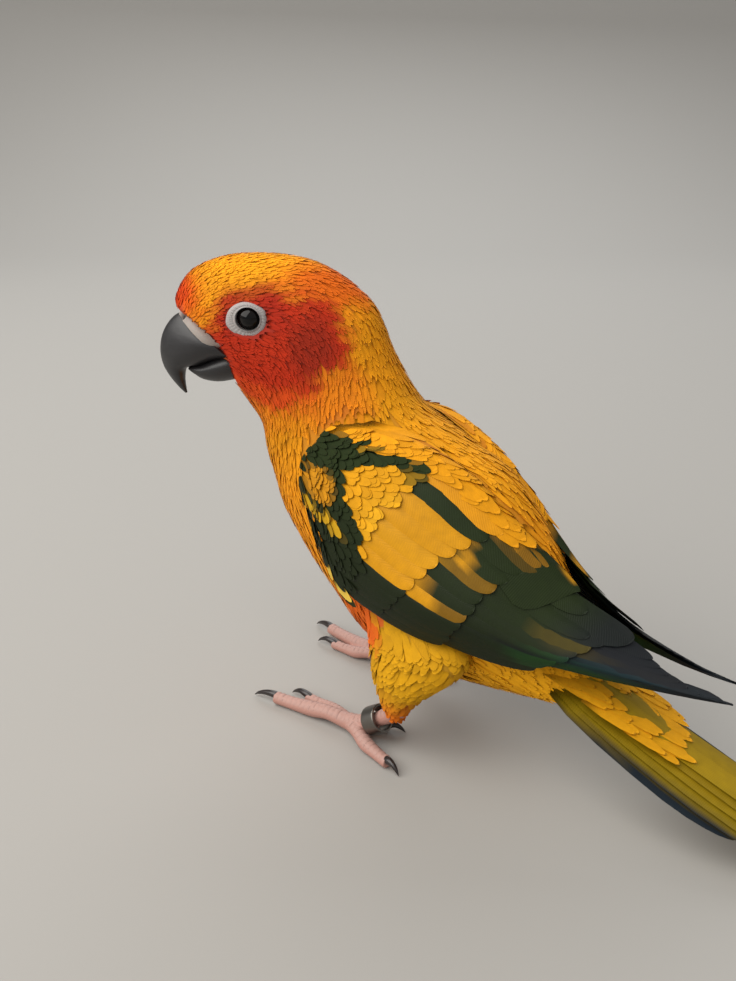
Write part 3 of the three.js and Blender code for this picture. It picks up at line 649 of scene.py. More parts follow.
def wing_colour(station, line):
    """Marks in the wing's own two numbers: a green wing with a golden yoke, yellow flecks at the
    shoulder, golden scapulars along the inner edge and near-black flight feathers. A station and
    a line count as 10 mm each."""
    points = np.stack([station * UNIT_MM, line * UNIT_MM, 0 * station], -1)

    def mark(station_at, line_at, long, wide, soft=0.35):
        """A patch at a station and a line, with its reach along and across the wing."""
        centre = (station_at * UNIT_MM, line_at * UNIT_MM, 0)
        return patch(points, centre, (long * UNIT_MM, wide * UNIT_MM, 1), soft, 0.1)

    ripple = 0.05 * np.sin(station * 9)
    scapular = smooth(line, 2.80 + ripple, 2.84 + ripple) * (1 - smooth(station, 3.6, 3.8))
    yoke = within(station + 0.05 * np.sin(line * 11), line + 0.05 * np.sin(station * 8), YOKE) * 1.0
    return paint("#161f05", points, [
        (0.8 * smooth(line, 0.9, 2.4), "#1e2b05"),
        (smooth(station, 4.9, 5.7), "#0a0e14"),
        (mark(5.4, 0.85, 0.75, 0.55, 0.6), "#173a12"),
        (0.8 * mark(6.1, 1.3, 0.7, 0.45, 0.8), "#08262c"),
        (mark(4.85, 1.12, 0.8, 0.15, 0.5), "#070b12"),
        (0.9 * mark(5.35, 1.9, 0.45, 0.25, 0.7), "#4c4006"),
        (mark(4.6, 3.62, 0.2, 0.14), "#c98c06"),
        (0.85 * mark(0.55, 1.75, 0.42, 0.3), "#cf8a06"),
        (0.9 * mark(0.25, 1.2, 0.35, 0.1, 0.6), "#c99a10"),
        (0.9 * mark(0.95, 1.3, 0.45, 0.1, 0.6), "#c99a10"),
        (yoke, "#d39206"),
        (0.5 * yoke * mark(2.0, 1.95, 0.4, 0.4, 0.9), "#e2aa1c"),
        (0.9 * mark(3.03, 2.15, 0.16, 0.14), "#2c3606"),
        (0.7 * mark(0.95, 2.72, 0.16, 0.12), "#a87c06"),
        (0.7 * mark(1.68, 2.62, 0.14, 0.10), "#a87c06"),
        (mark(1.3, 0.08, 1.4, 0.12, 0.5), "#dcb848"),
        (scapular, "#dd9304"),
        (0.5 * scapular * mark(2.4, 3.72, 2.2, 0.06, 0.9), "#a8520a"),
    ])


def tail_colour(back, aside):
    """Olive yellow above, with dark blue-grey along the outer edges and towards the tip."""
    points = np.stack([back, aside, 0 * back], -1)
    rim = smooth(np.abs(aside), 11.0, 13.5)
    return paint("#8a7204", points, [
        (0.5 * smooth(back, 125, 175), "#4a5412"),
        (0.5 * patch(points, (95, 0, 0), (22, 9, 1), 0.8), "#a88406"),
        (rim, "#141f28"),
    ])


def thigh_colour(points):
    """Yellow olive, golden in front and orange-brown above the foot."""
    front = points * [1, 0, 1]
    return paint("#c08a06", points, [
        (1 - smooth(points[..., 2], 12, 24), "#cc6408"),
        (0.9 * patch(front, (4, 0, 44), (11, 9, 9), 0.8), "#dc5810"),
        (0.7 * patch(front, (28, 0, 32), (14, 9, 10), 0.8), "#dca008"),
    ])


print("crown:", body_colour(head_place(30.0, 0.0, 139.0)[None]).round(3))

# %% [markdown]
# ## The skin
# Under its feathers a bird is one continuous skin. Joining its parts with booleans would leave hard
# creases, so the body, the two thighs and the two arms of the wings are closed tubes, melted into
# one mesh by a voxel remesh, which leaves no seam. The skin is coloured like the coat, in case a
# chink shows between feathers, and dips where the bill and the eyes sit.

# %% Where the face ends
FACE_HEIGHTS = [101, 104, 108, 112, 116, 119, 122, 124.5]
FACE_EDGE = [33.5, 34.5, 35, 36, 38, 41.5, 46.5, 50]
CERE_TOP = 124.6
BESIDE = 6


def over_bill(points):
    """1 where the head's surface would cover the bill's root, 0 behind the line where feathers
    begin, which runs from the cere down and back to the chin."""
    ahead, _, height = in_head(points)
    line = np.interp(height, FACE_HEIGHTS, FACE_EDGE)
    return smooth(ahead, line - 0.4, line + 0.6) * (height < CERE_TOP)


def round_eye(points):
    """1 inside the bare ring round an eye, where the skin dips to make room for the ball."""
    ahead, aside, height = in_head(points)
    away = np.hypot((ahead - 29.0) / 4.6, (height - 123.8) / 4.1)
    return (1 - smooth(away, 0.85, 1.1)) * (np.abs(aside) > BESIDE)


print("feathers begin", FACE_EDGE[0], "to", FACE_EDGE[-1], "mm ahead of the neck")


# %% One skin from five tubes
def skin_depth(place):
    """How far the skin lies under the coat's face: 0.45 mm on the head, 0.8 mm on the body."""
    return 0.45 + 0.35 * smooth(place, 5, 9)


def ring_grid(surface, places, count, lift):
    """Rings of points round a surface at the given places."""
    return surface(places[:, None], full_turn(count)[None, :], lift)


def melt(name, tubes, voxel_mm):
    """Joins closed tubes and returns the points and quads of their voxel remesh, in mm."""
    starts = np.cumsum([0] + [len(p) for p, _ in tubes])
    points = np.concatenate([p for p, _ in tubes])
    faces = [(f + s).tolist() for (_, parts), s in zip(tubes, starts) for f in parts]
    mesh = bpy.data.meshes.new(name)
    mesh.from_pydata(points.tolist(), [], [corners for block in faces for corners in block])
    lump = bpy.data.objects.new(name, mesh)
    bpy.context.scene.collection.objects.link(lump)
    remesh = lump.modifiers.new("melt", "REMESH")
    remesh.mode, remesh.voxel_size = "VOXEL", voxel_mm
    soften = lump.modifiers.new("soften", "SMOOTH")
    soften.factor, soften.iterations = 0.5, 4
    done = lump.evaluated_get(bpy.context.evaluated_depsgraph_get()).to_mesh()
    co = np.empty(len(done.vertices) * 3, np.float32)
    done.vertices.foreach_get("co", co)
    quads = np.array([list(p.vertices) for p in done.polygons if len(p.vertices) == 4])
    bpy.data.objects.remove(lump)
    return co.reshape(-1, 3).astype(float), quads


TAIL_ROOT = len(SECTIONS) - 1
BILL_DIP, EYE_DIP = 4.8, 2.6
ARM_FACE, ARM_BACK = -1.5, -3.4

places = np.linspace(0, TAIL_ROOT, 105)
face = ring_grid(body, places, 72, 0.0)
sunk = skin_depth(places)[:, None] + BILL_DIP * over_bill(face) + EYE_DIP * round_eye(face)
tubes = [closed_tube(ring_grid(body, places, 72, -sunk))]
for side, _ in SIDES:
    tubes.append(closed_tube(ring_grid(thigh_surface(side), np.linspace(-0.4, 4.9, 40), 36, -1.0)))
    lines = np.concatenate([np.linspace(0.15, 3.9, 16), np.linspace(3.9, 0.15, 16)])
    lifts = np.repeat([ARM_FACE, ARM_BACK], 16)
    stations = np.linspace(0.1, 4.3, 30)[:, None]
    tubes.append(closed_tube(wing_surface(side)(stations, lines[None, :], lifts[None, :])))
skin_points, skin_quads = melt("skin_lump", tubes, 0.9)
print("the skin has", len(skin_quads), "quads")


# %% The skin's colour, from the coat above it
def nearest_colour(points, samples, colours):
    """The colour of the sample with the least |p - s|^2, in blocks of points."""
    reach = (samples**2).sum(1)
    blocks = np.array_split(points, 24)
    best = [np.argmin(reach - 2 * block @ samples.T, axis=1) for block in blocks]
    return colours[np.concatenate(best)]


body_spots = ring_grid(body, np.linspace(0, TAIL_ROOT, 60), 40, 0.0).reshape(-1, 3)
samples, tints = [body_spots], [body_colour(body_spots)]
for side, _ in SIDES:
    station, line = (a.ravel() for a in np.meshgrid(np.linspace(0.2, 4.4, 20), np.linspace(0.1, 3.9, 16)))
    samples.append(wing_surface(side)(station, line, -1.0))
    tints.append(wing_colour(station, line))
    spots = ring_grid(thigh_surface(side), np.linspace(0, 5, 16), 16, 0.0).reshape(-1, 3)
    samples.append(spots)
    tints.append(thigh_colour(spots))
IN_SHADE = 0.85
skin_tint = nearest_colour(skin_points, np.concatenate(samples), np.concatenate(tints)) * IN_SHADE


def tint_material(name, roughness, grain_mm, depth_mm, tone=(0.9, 1.1), **settings):
    """Colour from the points times a grain, and the same grain as a small bump."""
    material, tree, shader = new_material(name, Roughness=roughness, **settings)
    where = node(tree, "ShaderNodeTexCoord")
    grain = node(tree, "ShaderNodeTexNoise", {"Vector": where.outputs["Object"],
                                              "Scale": MM_PER_M / grain_mm, "Detail": 4.0})
    shade = node(tree, "ShaderNodeMapRange",
                 {"Value": grain.outputs["Fac"], "To Min": tone[0], "To Max": tone[1]})
    mixed = node(tree, "ShaderNodeVectorMath", {0: plumage(tree), "Scale": shade.outputs[0]},
                 operation="SCALE")
    bump = node(tree, "ShaderNodeBump", {"Height": grain.outputs["Fac"], "Strength": 0.7,
                                         "Distance": depth_mm / MM_PER_M})
    tree.links.new(mixed.outputs[0], shader.inputs["Base Color"])
    tree.links.new(bump.outputs[0], shader.inputs["Normal"])
    return material


# Skin under feathers is soft and matt.
under_skin = tint_material("downy_under_skin", 0.85, 2.0, 0.1)
skin = make_mesh("skin", skin_points, skin_quads, under_skin, skin_tint)
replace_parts(skin, "head", "neck", "torso", "thigh_left", "thigh_right", "wing_left", "wing_right")

# %% [markdown]
# ## The coat
# Contour feathers are 2 mm long beside the bill and 13 mm on the rump. Roots strewn at random would
# leave bald spots, so they are set evenly, closer together where the feathers are small: each has
# about a fifth of its own length times width to itself, and the skin is covered about four deep.


# %% Growing a coat
def roots(surface, spans, wanted, steps=(520, 360)):
    """Small cells of the surface; a root each time the running sum of area / wanted area passes
    a whole number."""
    (u0, u1), (v0, v1) = spans
    cell = ((u1 - u0) / steps[0], (v1 - v0) / steps[1])
    rows, cols = u0 + cell[0] * np.arange(steps[0]), v0 + cell[1] * np.arange(steps[1])
    u, v = np.meshgrid(rows, cols, indexing="ij")
    du, dv = frame_at(surface, u, v)
    area = np.linalg.norm(np.cross(du, dv), axis=-1) * cell[0] * cell[1]
    share = (area / wanted(u, v)).ravel()
    total = np.cumsum(share)
    chosen = np.floor(total) > np.floor(total - share)
    u = u.ravel()[chosen] + cell[0] * rng.uniform(-1.5, 2.5, chosen.sum())
    v = v.ravel()[chosen] + cell[1] * rng.uniform(0, 1, chosen.sum())
    return u, v


COLOUR_SPOT = 0.6


def grow(name, surface, spans, size, colour, depth, keep=None,
         crowd=0.19, stray=0.13, proud=0.07, rise=0.0):
    """size gives length and width in mm at (u, v); keep takes the roots and tips in mm. Roots lie
    depth below the surface and tips about rise above it, give or take a share of proud. crowd is
    the share of its own area that a feather has to itself, stray how far it turns, in radians."""
    u, v = roots(surface, spans, lambda a, b: crowd * np.prod(size(a, b), axis=0))
    long, wide = size(u, v)
    long = long * rng.uniform(0.85, 1.15, len(u))
    end = lie(surface, u, v, long, rng.normal(0, stray, len(u)))
    if keep is not None:
        ok = keep(surface(u, v), surface(*end))
        u, v, long, wide, end = u[ok], v[ok], long[ok], wide[ok], (end[0][ok], end[1][ok])
    lifts = (-depth(u), rise + rng.uniform(-0.3, 1.0, len(u)) * proud)
    points = lay_vanes(surface, SMALL, (u, v), end, wide, lifts)
    base = colour(u + COLOUR_SPOT * (end[0] - u), v + COLOUR_SPOT * (end[1] - v))
    base = base * rng.normal(1, 0.05, (len(u), 1))
    # Painted shade: each feather is darker towards its root, where the feathers in front cover it.
    shade = 0.94 + 0.08 * SMALL["along"]
    colours = base[:, None, :] * shade[None, :, None]
    home = np.stack([v / (2 * np.pi) % 1, u / TAIL_ROOT], -1)
    return coat_mesh(name, points, SMALL, colours, home, np.stack([long, wide], -1), down)


# %% Feathers that fit the body
SIZED_AT = [0, 1, 2, 3, 4, 5, 6, 7, 8, 10, 13]
LENGTHS = [2.0, 2.5, 3.2, 3.8, 4.6, 5.6, 6.8, 8.0, 9.2, 11, 13]
BARE_RING = dict(ahead=29.5, height=123.3, half_length=5.5, half_height=4.7, least_aside=7)
WING_CLEARANCE = 1.6


def body_size(place, angle):
    """Length and width by place: from 2 mm beside the bill to 13 mm on the rump."""
    long = np.interp(place, SIZED_AT, LENGTHS)
    return long, 0.10 * long + 0.42


def clear_of_face(root, tip):
    """False for feathers that touch the bare rings round the eyes, the cere or the bill."""
    fine = over_bill(root) < 0.5
    for points in (root, (root + tip) / 2, tip):
        ahead, aside, height = in_head(points)
        along = (ahead - BARE_RING["ahead"]) / BARE_RING["half_length"]
        up = (height - BARE_RING["height"]) / BARE_RING["half_height"]
        fine &= (along**2 + up**2 > 1) | (np.abs(aside) < BARE_RING["least_aside"])
    return fine


stations, lines = np.meshgrid(np.linspace(0.15, 4.4, 56), np.linspace(0.1, 3.9, 42))
WING_SPOTS = np.concatenate([wing_surface(side)(stations, lines, 0.0).reshape(-1, 3) for side, _ in SIDES])


def clear_of_wing(root, tip):
    """False where a feather's tip would stick through the face of a folded wing."""
    reach = (WING_SPOTS**2).sum(1)
    near = [(reach - 2 * block @ WING_SPOTS.T).min(1) for block in np.array_split(tip, 40)]
    return np.concatenate(near) + (tip**2).sum(1) > WING_CLEARANCE**2


def coat_depth(place):
    """Roots start a little inside the skin."""
    return skin_depth(place) + 0.15


def tint_on(surface, colour):
    """A colour of points, asked for by the surface's two numbers."""
    return lambda u, v: colour(surface(u, v))


# %% The coat of head, neck, body and thighs
ROUND = (-np.pi, np.pi)
BODY_COAT = [
    # title, first and last place, slot, what it keeps clear of
    ("face_and_crown", (0.12, 2.6), "red_orange_feathers", clear_of_face),
    ("cheeks_and_nape", (2.6, 5.0), "red_orange_feathers", clear_of_face),
    ("neck_feathers", (5.0, 7.4), "yellow_feathers", clear_of_wing),
    ("body_feathers", (7.4, 12.9), "yellow_feathers", clear_of_wing),
]
coat = []
for title, span, slot, keep in BODY_COAT:
    coat += grow(title, body, (span, ROUND), body_size, tint_on(body, body_colour), coat_depth, keep)
for side, word in SIDES:
    sheet = thigh_surface(side)
    coat += grow(f"thigh_feathers_{word}", sheet, ((-0.6, 4.75), ROUND),
                 lambda u, v: (9.0 - 1.1 * u, 3.0 - 0.3 * u), tint_on(sheet, thigh_colour),
                 lambda u: 1.4 + 0 * u, stray=0.16, proud=0.4)

# %% [markdown]
# ## Wing and tail feathers
# The big feathers are few and each has its place, so they aren't strewn but laid in tiers, each
# named by where its first and its last feather start and end. From below upwards: ten primaries
# that make the tip of the wing, nine secondaries over them, three tertials, then greater and median
# coverts, many small lesser coverts at the shoulder, and the golden scapulars over the inner edge.

# %% A finer plan for big feathers, and the tiers of the wing
LARGE_ROWS = [0, 0.12, 0.3, 0.5, 0.66, 0.78, 0.87, 0.93, 0.97, 0.99, 1]
ROUND_TIP = [0.5, 0.8, 1.0, 1.03, 1.0, 0.95, 0.83, 0.68, 0.48, 0.3, 0.08]
POINTED = [0.5, 0.85, 1.0, 1.0, 0.93, 0.8, 0.62, 0.45, 0.28, 0.16, 0.05]
ROUNDED = vane_plan(LARGE_ROWS, ROUND_TIP, 7, 0.45)
NARROW = vane_plan(LARGE_ROWS, POINTED, 7, 0.45)

WING_TIERS = {
    # count, roots and tips as (station, line) of the first and the last, width, lift, rise, plan
    "primaries": (10, (3.6, 0.6), (3.6, 2.5), (8.1, 0.9), (6.4, 2.8), 6.8, -1.9, 0.7, NARROW),
    "secondaries": (9, (3.0, 0.5), (3.0, 2.9), (5.1, 0.25), (6.0, 3.0), 9.5, -0.9, 0.3, ROUNDED),
    "tertials": (3, (2.9, 2.6), (2.9, 3.4), (5.6, 2.3), (4.95, 3.45), 7.6, -0.4, 0.3, ROUNDED),
    "greater_coverts": (12, (1.9, 0.4), (2.1, 3.1), (3.7, 0.22), (4.3, 3.1), 8.0, -0.3, 0.1, ROUNDED),
    "median_coverts": (11, (1.0, 0.45), (1.2, 2.9), (2.7, 0.4), (3.4, 2.8), 7.6, 0.0, 0.1, ROUNDED),
}


ROOT_SINK = 0.7
QUARTER_LINE = 0.12


def tier_feathers(surface, tier):
    """Points, (u, v) of every point, sizes and roots of one tier, spread evenly between its ends."""
    count, root0, root1, tip0, tip1, width, lift, rise, plan = tier
    t = np.linspace(0, 1, count)
    start = [root0[i] + (root1[i] - root0[i]) * t for i in (0, 1)]
    end = [tip0[i] + (tip1[i] - tip0[i]) * t + rng.normal(0, 0.02, count) for i in (0, 1)]
    wide = np.full(count, width)
    lifts = (lift - ROOT_SINK + rise * t, lift + rise * t)
    points = lay_vanes(surface, plan, start, end, wide, lifts, tilt=0.3, arch=0.2)
    long = np.linalg.norm(surface(*end) - surface(*start), axis=-1)
    r, c = plan["along"][None], plan["across"][None]
    u = start[0][:, None] + (end[0] - start[0])[:, None] * r
    v = start[1][:, None] + (end[1] - start[1])[:, None] * r + QUARTER_LINE * c
    return points, u, v, np.stack([long, wide], -1), start


print("tiers:", {title: tier[0] for title, tier in WING_TIERS.items()})


# %% The wings, tier by tier
COLOUR_ROW = 0.66
# How far each feather of a tier has one colour all over, that of a single spot.
ONE_COLOUR = {"median_coverts": 1.0, "greater_coverts": 0.3}
LEAST_ONE_COLOUR = 0.15

for side, word in SIDES:
    sheet = wing_surface(side)
    for title, tier in WING_TIERS.items():
        points, u, v, sizes, start = tier_feathers(sheet, tier)
        plan = tier[-1]
        spot = np.argmin(np.abs(plan["along"] - COLOUR_ROW) + np.abs(plan["across"]))
        own = wing_colour(u[:, spot], v[:, spot])[:, None, :]
        mix = ONE_COLOUR.get(title, LEAST_ONE_COLOUR)
        colours = mix * own + (1 - mix) * wing_colour(u, v)
        # Painted shade: each feather is darker towards its root and on one half of its vane.
        base = 0.88 + 0.14 * plan["along"] - 0.06 * (plan["across"] > 0.1)
        colours = colours * base[None, :, None]
        home = np.stack([start[1] / 8 + (0.5 if side > 0 else 0), start[0] / 9], -1)
        vanes = coat_mesh(f"{title}_{word}", points, plan, colours, home, sizes, quill)
        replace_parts(vanes[0], f"wing_{word}")
        coat += vanes
    coat += grow(f"lesser_coverts_{word}", sheet, ((-0.45, 1.6), (0.0, 3.1)),
                 lambda u, v: (5.6 + 1.6 * u, 2.4 + 0.7 * u), wing_colour,
                 lambda u: 0.9 - 0.3 * u, crowd=0.15, stray=0.08, proud=0.15, rise=0.5)
    coat += grow(f"scapulars_{word}", sheet, ((-0.25, 2.75), (2.82, 4.0)),
                 lambda u, v: (15.0 + 1.0 * u, 3.0 + 0.5 * u), wing_colour,
                 lambda u: 0.6 + 0 * u, crowd=0.09, stray=0.025, proud=0.25, rise=0.5)

# %% [markdown]
# The tail is long and graduated: the middle pair lies on top and reaches furthest, and each pair
# below it is shorter. Twelve feathers laid one by one keep the steps that a single tapering sheet
# would lose. Coverts hide the quills on the upper side.

# %% The tail and its coverts
PAIRS = 6
VANE_WIDTH = 11.5
TAIL_START, TAIL_END, SHORTER = 60.0, 175.0, 12.5
BELOW = -1.1

pair = np.arange(PAIRS)
widths = np.full(PAIRS, VANE_WIDTH)
for turn, word in ((-1, "right"), (1, "left")):
    start = [np.full(PAIRS, TAIL_START), turn * (0.6 + 1.3 * pair)]
    end = [TAIL_END - SHORTER * pair, turn * (0.6 + 2.3 * pair)]
    points = lay_vanes(tail, NARROW, start, end, widths, (BELOW * pair, BELOW * pair), arch=0.3)
    r, c = NARROW["along"][None], NARROW["across"][None]
    back = start[0][:, None] + (end[0] - start[0])[:, None] * r
    aside = start[1][:, None] + (end[1] - start[1])[:, None] * r + 5.7 * c
    colours = tail_colour(back, aside) * (0.85 + 0.2 * rng.random((PAIRS, 1, 1)))
    home = np.stack([start[1] / 40 + 0.5, start[0] / 200 + pair / 60], -1)
    sizes = np.stack([end[0] - start[0], widths], -1)
    title = f"tail_feathers_{word}"
    vanes = coat_mesh(title, points, NARROW, colours, home, sizes, quill)
    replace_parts(vanes[0], "tail")
    coat += vanes


def covert_colour(back, aside):
    """Golden over the rump, fading to the tail's olive near the tips."""
    gold = np.broadcast_to(to_linear("#dd9a06"), np.shape(back) + (3,))
    share = smooth(back, 88, 98)[..., None]
    return gold + (tail_colour(back, aside) - gold) * 0.35 * share


coat += grow("upper_tail_coverts", tail, ((54, 84), (-10.0, 10.0)),
             lambda u, v: (15 + 0 * u, 3.6 + 0 * u), covert_colour,
             lambda u: 0.4 + 0 * u, crowd=0.14, stray=0.04, proud=1.0)
print("coat triangles:", sum(pieces_made[p.name] for p in coat))

# %% [markdown]
# ## Bill, cere and nostrils
# The bill is bone under a shell of black horn, the same stuff as a claw, that wears off in thin
# flakes. The cere is the strip of bare pale skin at its root, with a nostril on each side. A block
# cut to the outline would have a flat side, so each is a loft: ovals between a line along its back
# and a line along its front, which carry the hook of the tip on their own.

# %% Lofts along the head, for bill and cere
UPPER_BILL = [
    # back: ahead, height; front: ahead, height; half width
    [47.5, 121.0, 35.4, 109.9, 6.4], [51.6, 122.4, 39.6, 109.8, 6.8], [55.0, 120.2, 43.4, 108.7, 6.3],
    [57.6, 116.1, 46.7, 107.5, 5.3], [58.6, 111.5, 49.4, 107.0, 4.3], [58.1, 107.2, 51.3, 106.0, 3.1],
    [56.3, 103.6, 51.9, 103.4, 2.0], [54.0, 100.6, 51.8, 101.0, 1.1], [52.1, 98.7, 51.5, 98.9, 0.35],
]
LOWER_BILL = [
    [33.5, 111.0, 33.5, 104.5, 4.6], [38.0, 111.6, 37.0, 103.6, 5.5], [41.6, 110.4, 41.5, 102.8, 5.3],
    [45.0, 108.6, 45.8, 103.3, 4.4], [47.9, 107.6, 48.4, 104.7, 3.2], [50.0, 107.0, 50.3, 105.9, 1.6],
]
CERE = [
    [47.5, 123.7, 36.8, 112.8, 7.0], [49.8, 123.9, 38.2, 112.4, 7.3],
    [51.0, 123.5, 38.7, 112.0, 7.2], [52.0, 122.7, 39.4, 111.6, 6.8],
]


def head_loft(table, rows, cols, lift=0.0, skew=0.0):
    """Ovals across the head between the back and the front line of a table; a negative skew
    makes them broader towards the front line."""
    row = spline(table, np.linspace(0, len(table) - 1, rows))[:, None, :]
    row = np.concatenate([row, skew + 0 * row[..., :1]], -1)
    return section_point(row, np.full(row.shape[:2], HEAD_YAW), full_turn(cols)[None, :], lift)


FLAKES_PER_M = (260, 260, 620)
WORN = 2.4


def horn_material(name, roughness, base):
    """Horn: flakes a few mm long as a faint bump and a greyer tone where they have worn."""
    material, tree, shader = new_material(name, Roughness=roughness, IOR=1.54)
    where = node(tree, "ShaderNodeTexCoord")
    long = node(tree, "ShaderNodeMapping", {"Vector": where.outputs["Object"], "Scale": FLAKES_PER_M})
    flakes = node(tree, "ShaderNodeTexNoise", {"Vector": long.outputs[0], "Scale": 1.0, "Detail": 5.0})
    horn = to_linear(base)
    worn = node(tree, "ShaderNodeMix",
                {"Factor": flakes.outputs["Fac"], "A": (*horn, 1), "B": (*(horn * WORN), 1)},
                data_type="RGBA")
    bump = node(tree, "ShaderNodeBump", {"Height": flakes.outputs["Fac"], "Strength": 0.5,
                                         "Distance": 0.12 / MM_PER_M})
    tree.links.new(worn.outputs["Result"], shader.inputs["Base Color"])
    tree.links.new(bump.outputs[0], shader.inputs["Normal"])
    return material


# Satin black horn of the bill, and the darker gloss of the claws.
bill_horn = horn_material("satin_black_horn", 0.42, "#151415")
claw_horn = horn_material("polished_claw_horn", 0.28, "#1d1716")
# Dry bare skin with pores about a third of a millimetre apart; a little light passes through it.
bare_skin = tint_material("dry_bare_skin", 0.62, 0.35, 0.04, (0.88, 1.08),
                          Subsurface_Weight=0.04, Subsurface_Radius=(0.0015, 0.0006, 0.0004))

points, faces = closed_tube(head_loft(UPPER_BILL, 90, 64, 0.0, -0.42))
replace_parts(make_mesh("bill_upper_horn", points, faces, bill_horn), "bill_upper")
points, faces = closed_tube(head_loft(LOWER_BILL, 60, 56, 0.1, 0.2))
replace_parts(make_mesh("bill_lower_horn", points, faces, bill_horn), "bill_lower")

# %% The cere and its nostrils
NOSTRIL = dict(ahead=50.2, aside=3.7, height=122.3, radius=1.0, depth=1.1)
NOSTRIL_RIM = dict(radius=1.7, width=0.6, height=0.28)
INSIDE_CERE = head_place(47.0, 0.0, 117.0)

points, faces = closed_tube(head_loft(CERE, 40, 160, 0.0, -0.25))
tint = np.tile(to_linear("#a69c94"), (len(points), 1))
for side, _ in SIDES:
    # A hole: depth exp(-(d / radius)^2), less a rim of height exp(-((d - rim) / width)^2).
    nostril = head_place(NOSTRIL["ahead"], side * NOSTRIL["aside"], NOSTRIL["height"])
    away = np.linalg.norm(points - nostril, axis=1)
    near = np.exp(-((away / NOSTRIL["radius"]) ** 2))
    rim = np.exp(-(((away - NOSTRIL_RIM["radius"]) / NOSTRIL_RIM["width"]) ** 2))
    inward = unit(INSIDE_CERE - points)
    points = points + inward * (NOSTRIL["depth"] * near - NOSTRIL_RIM["height"] * rim)[:, None]
    # Painted shade: the tint goes nearly black in each nostril's dent.
    tint = tint * (1 - 0.93 * np.clip(1.4 * near, 0, 1))[:, None]
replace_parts(make_mesh("cere_skin", points, faces, bare_skin, tint), "cere")

# %% [markdown]
# ## Eyes
# The eye is a ball of 7 mm, nearly black, under a wet clear cornea that bulges a little. Round it
# lies a ring of bare, finely wrinkled skin whose inner edge rolls over the ball as the two lids. A
# flat washer would show a gap to the ball, so the ring is a closed profile carried once round it.


# %% The eye balls
def eye_point(side, across, up, out):
    """A point beside an eye: across goes ahead, up is height and out leads away from the head."""
    return head_place(EYE["ahead"] + across, -side * (EYE["aside"] + out), EYE["height"] + up)


# A wet, nearly black eye: a sharp glint and no grain.
wet_eye = tint_material("wet_dark_eye", 0.06, 0.5, 0.0, (0.95, 1.05), IOR=1.34)
PUPIL, IRIS = to_linear("#040303"), to_linear("#0b0604")
POLE = 0.02
CORNEA = 0.04


def eye_ball(side):
    """Radius times (sin t cos p, sin t sin p, cos t), with the axis leading out; the radius grows
    by CORNEA exp(-(t / 0.5)^2)."""
    t = np.linspace(POLE, np.pi - POLE, 40)[:, None]
    p = full_turn(56)[None, :]
    r = EYE["radius"] * (1 + CORNEA * np.exp(-((t / 0.5) ** 2)))
    ball = eye_point(side, r * np.sin(t) * np.cos(p), r * np.sin(t) * np.sin(p), r * np.cos(t) + 0 * p)
    away = np.concatenate([np.repeat(t[:, 0], ball.shape[1]), [0, np.pi]])
    iris = (smooth(away, 0.36, 0.42) * (1 - smooth(away, 0.8, 0.95)))[:, None]
    return *closed_tube(ball), PUPIL + (IRIS - PUPIL) * iris


# %% The bare rings and their lids
RING_PROFILE = [
    # share of the way from the ball to the outer rim, height
    [1.00, 0.55], [0.97, 1.35], [0.90, 1.75], [0.78, 2.05], [0.62, 2.3], [0.45, 2.42], [0.30, 2.42],
    [0.20, 2.62], [0.11, 2.86], [0.04, 2.8], [0.0, 2.45], [0.02, 1.7], [0.25, 0.9], [0.65, 0.3],
]
LID_ROLL = 2.0
TOP_SIDE = 1.3


def swell(p, at, width):
    """exp(-(d / width)^2), where d is the angle between p and at."""
    return np.exp(-(((p - at + np.pi) % (2 * np.pi) - np.pi) / width) ** 2)


def eye_ring(side):
    """w runs round the closed profile, from the outer rim over the top to the lid's roll and back
    underneath, and p runs round the eye. In plan it goes from an ellipse with two corners, outside,
    to a circle round the ball. Folds are sines along both."""
    w = np.linspace(0, len(RING_PROFILE), 64, endpoint=False)
    share, rise = spline(RING_PROFILE + RING_PROFILE[:1], w).T
    share, rise = share[None, :], rise[None, :]
    p = full_turn(120)[:, None]
    corner = 0.5 * swell(p, 2.5, 0.35) + 0.35 * swell(p, -0.45, 0.4)
    outer = np.stack([(5.75 + corner) * np.cos(p) + 0.7, 4.95 * np.sin(p) - 0.7], -1)
    inner = np.stack([3.25 * np.cos(p), 3.1 * np.sin(p)], -1)
    plan = inner + (outer - inner) * share[..., None]
    folds = 0.06 * np.sin(p * 34 + 3 * np.sin(3 * p)) * np.sin(np.pi * np.clip(share, 0, 1))
    folds = folds + 0.05 * np.sin(share * 42 + 1.5 * np.sin(4 * p)) * (rise > TOP_SIDE)
    # Painted shade: the ring darkens towards the ball, and nearly to black along the lid's edge where it
    # meets the ball.
    grey = (0.86 + 0.14 * np.clip(share, 0, 1) + 0 * p)[..., None] * to_linear("#aaa4a1")
    dark = np.exp(-((share - 0.02) / 0.07) ** 2)[..., None] * (rise > LID_ROLL)[..., None]
    tint = (grey * (1 - 0.75 * dark)).reshape(-1, 3)
    return *closed_ring(eye_point(side, plan[..., 0], plan[..., 1], rise + folds)), tint


for side, word in SIDES:
    points, faces, tint = eye_ball(side)
    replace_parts(make_mesh(f"eye_ball_{word}", points, faces, wet_eye, tint), f"eye_{word}")
    points, faces, tint = eye_ring(side)
    ring = make_mesh(f"eye_ring_skin_{word}", points, faces, bare_skin, tint)
    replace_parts(ring, f"eye_ring_{word}")

# %% [markdown]
# ## Feet
# A parrot has two toes in front and two behind. Each toe is a soft tube with pads under the
# joints, covered by horny scutes across its upper side and by round granules elsewhere. Tubes that
# are only pushed together show a seam at every toe's root, so the shank and four toes are melted
# into one skin, and the scutes are raised on it: the rise depends on how far along the nearest toe
# a point lies.

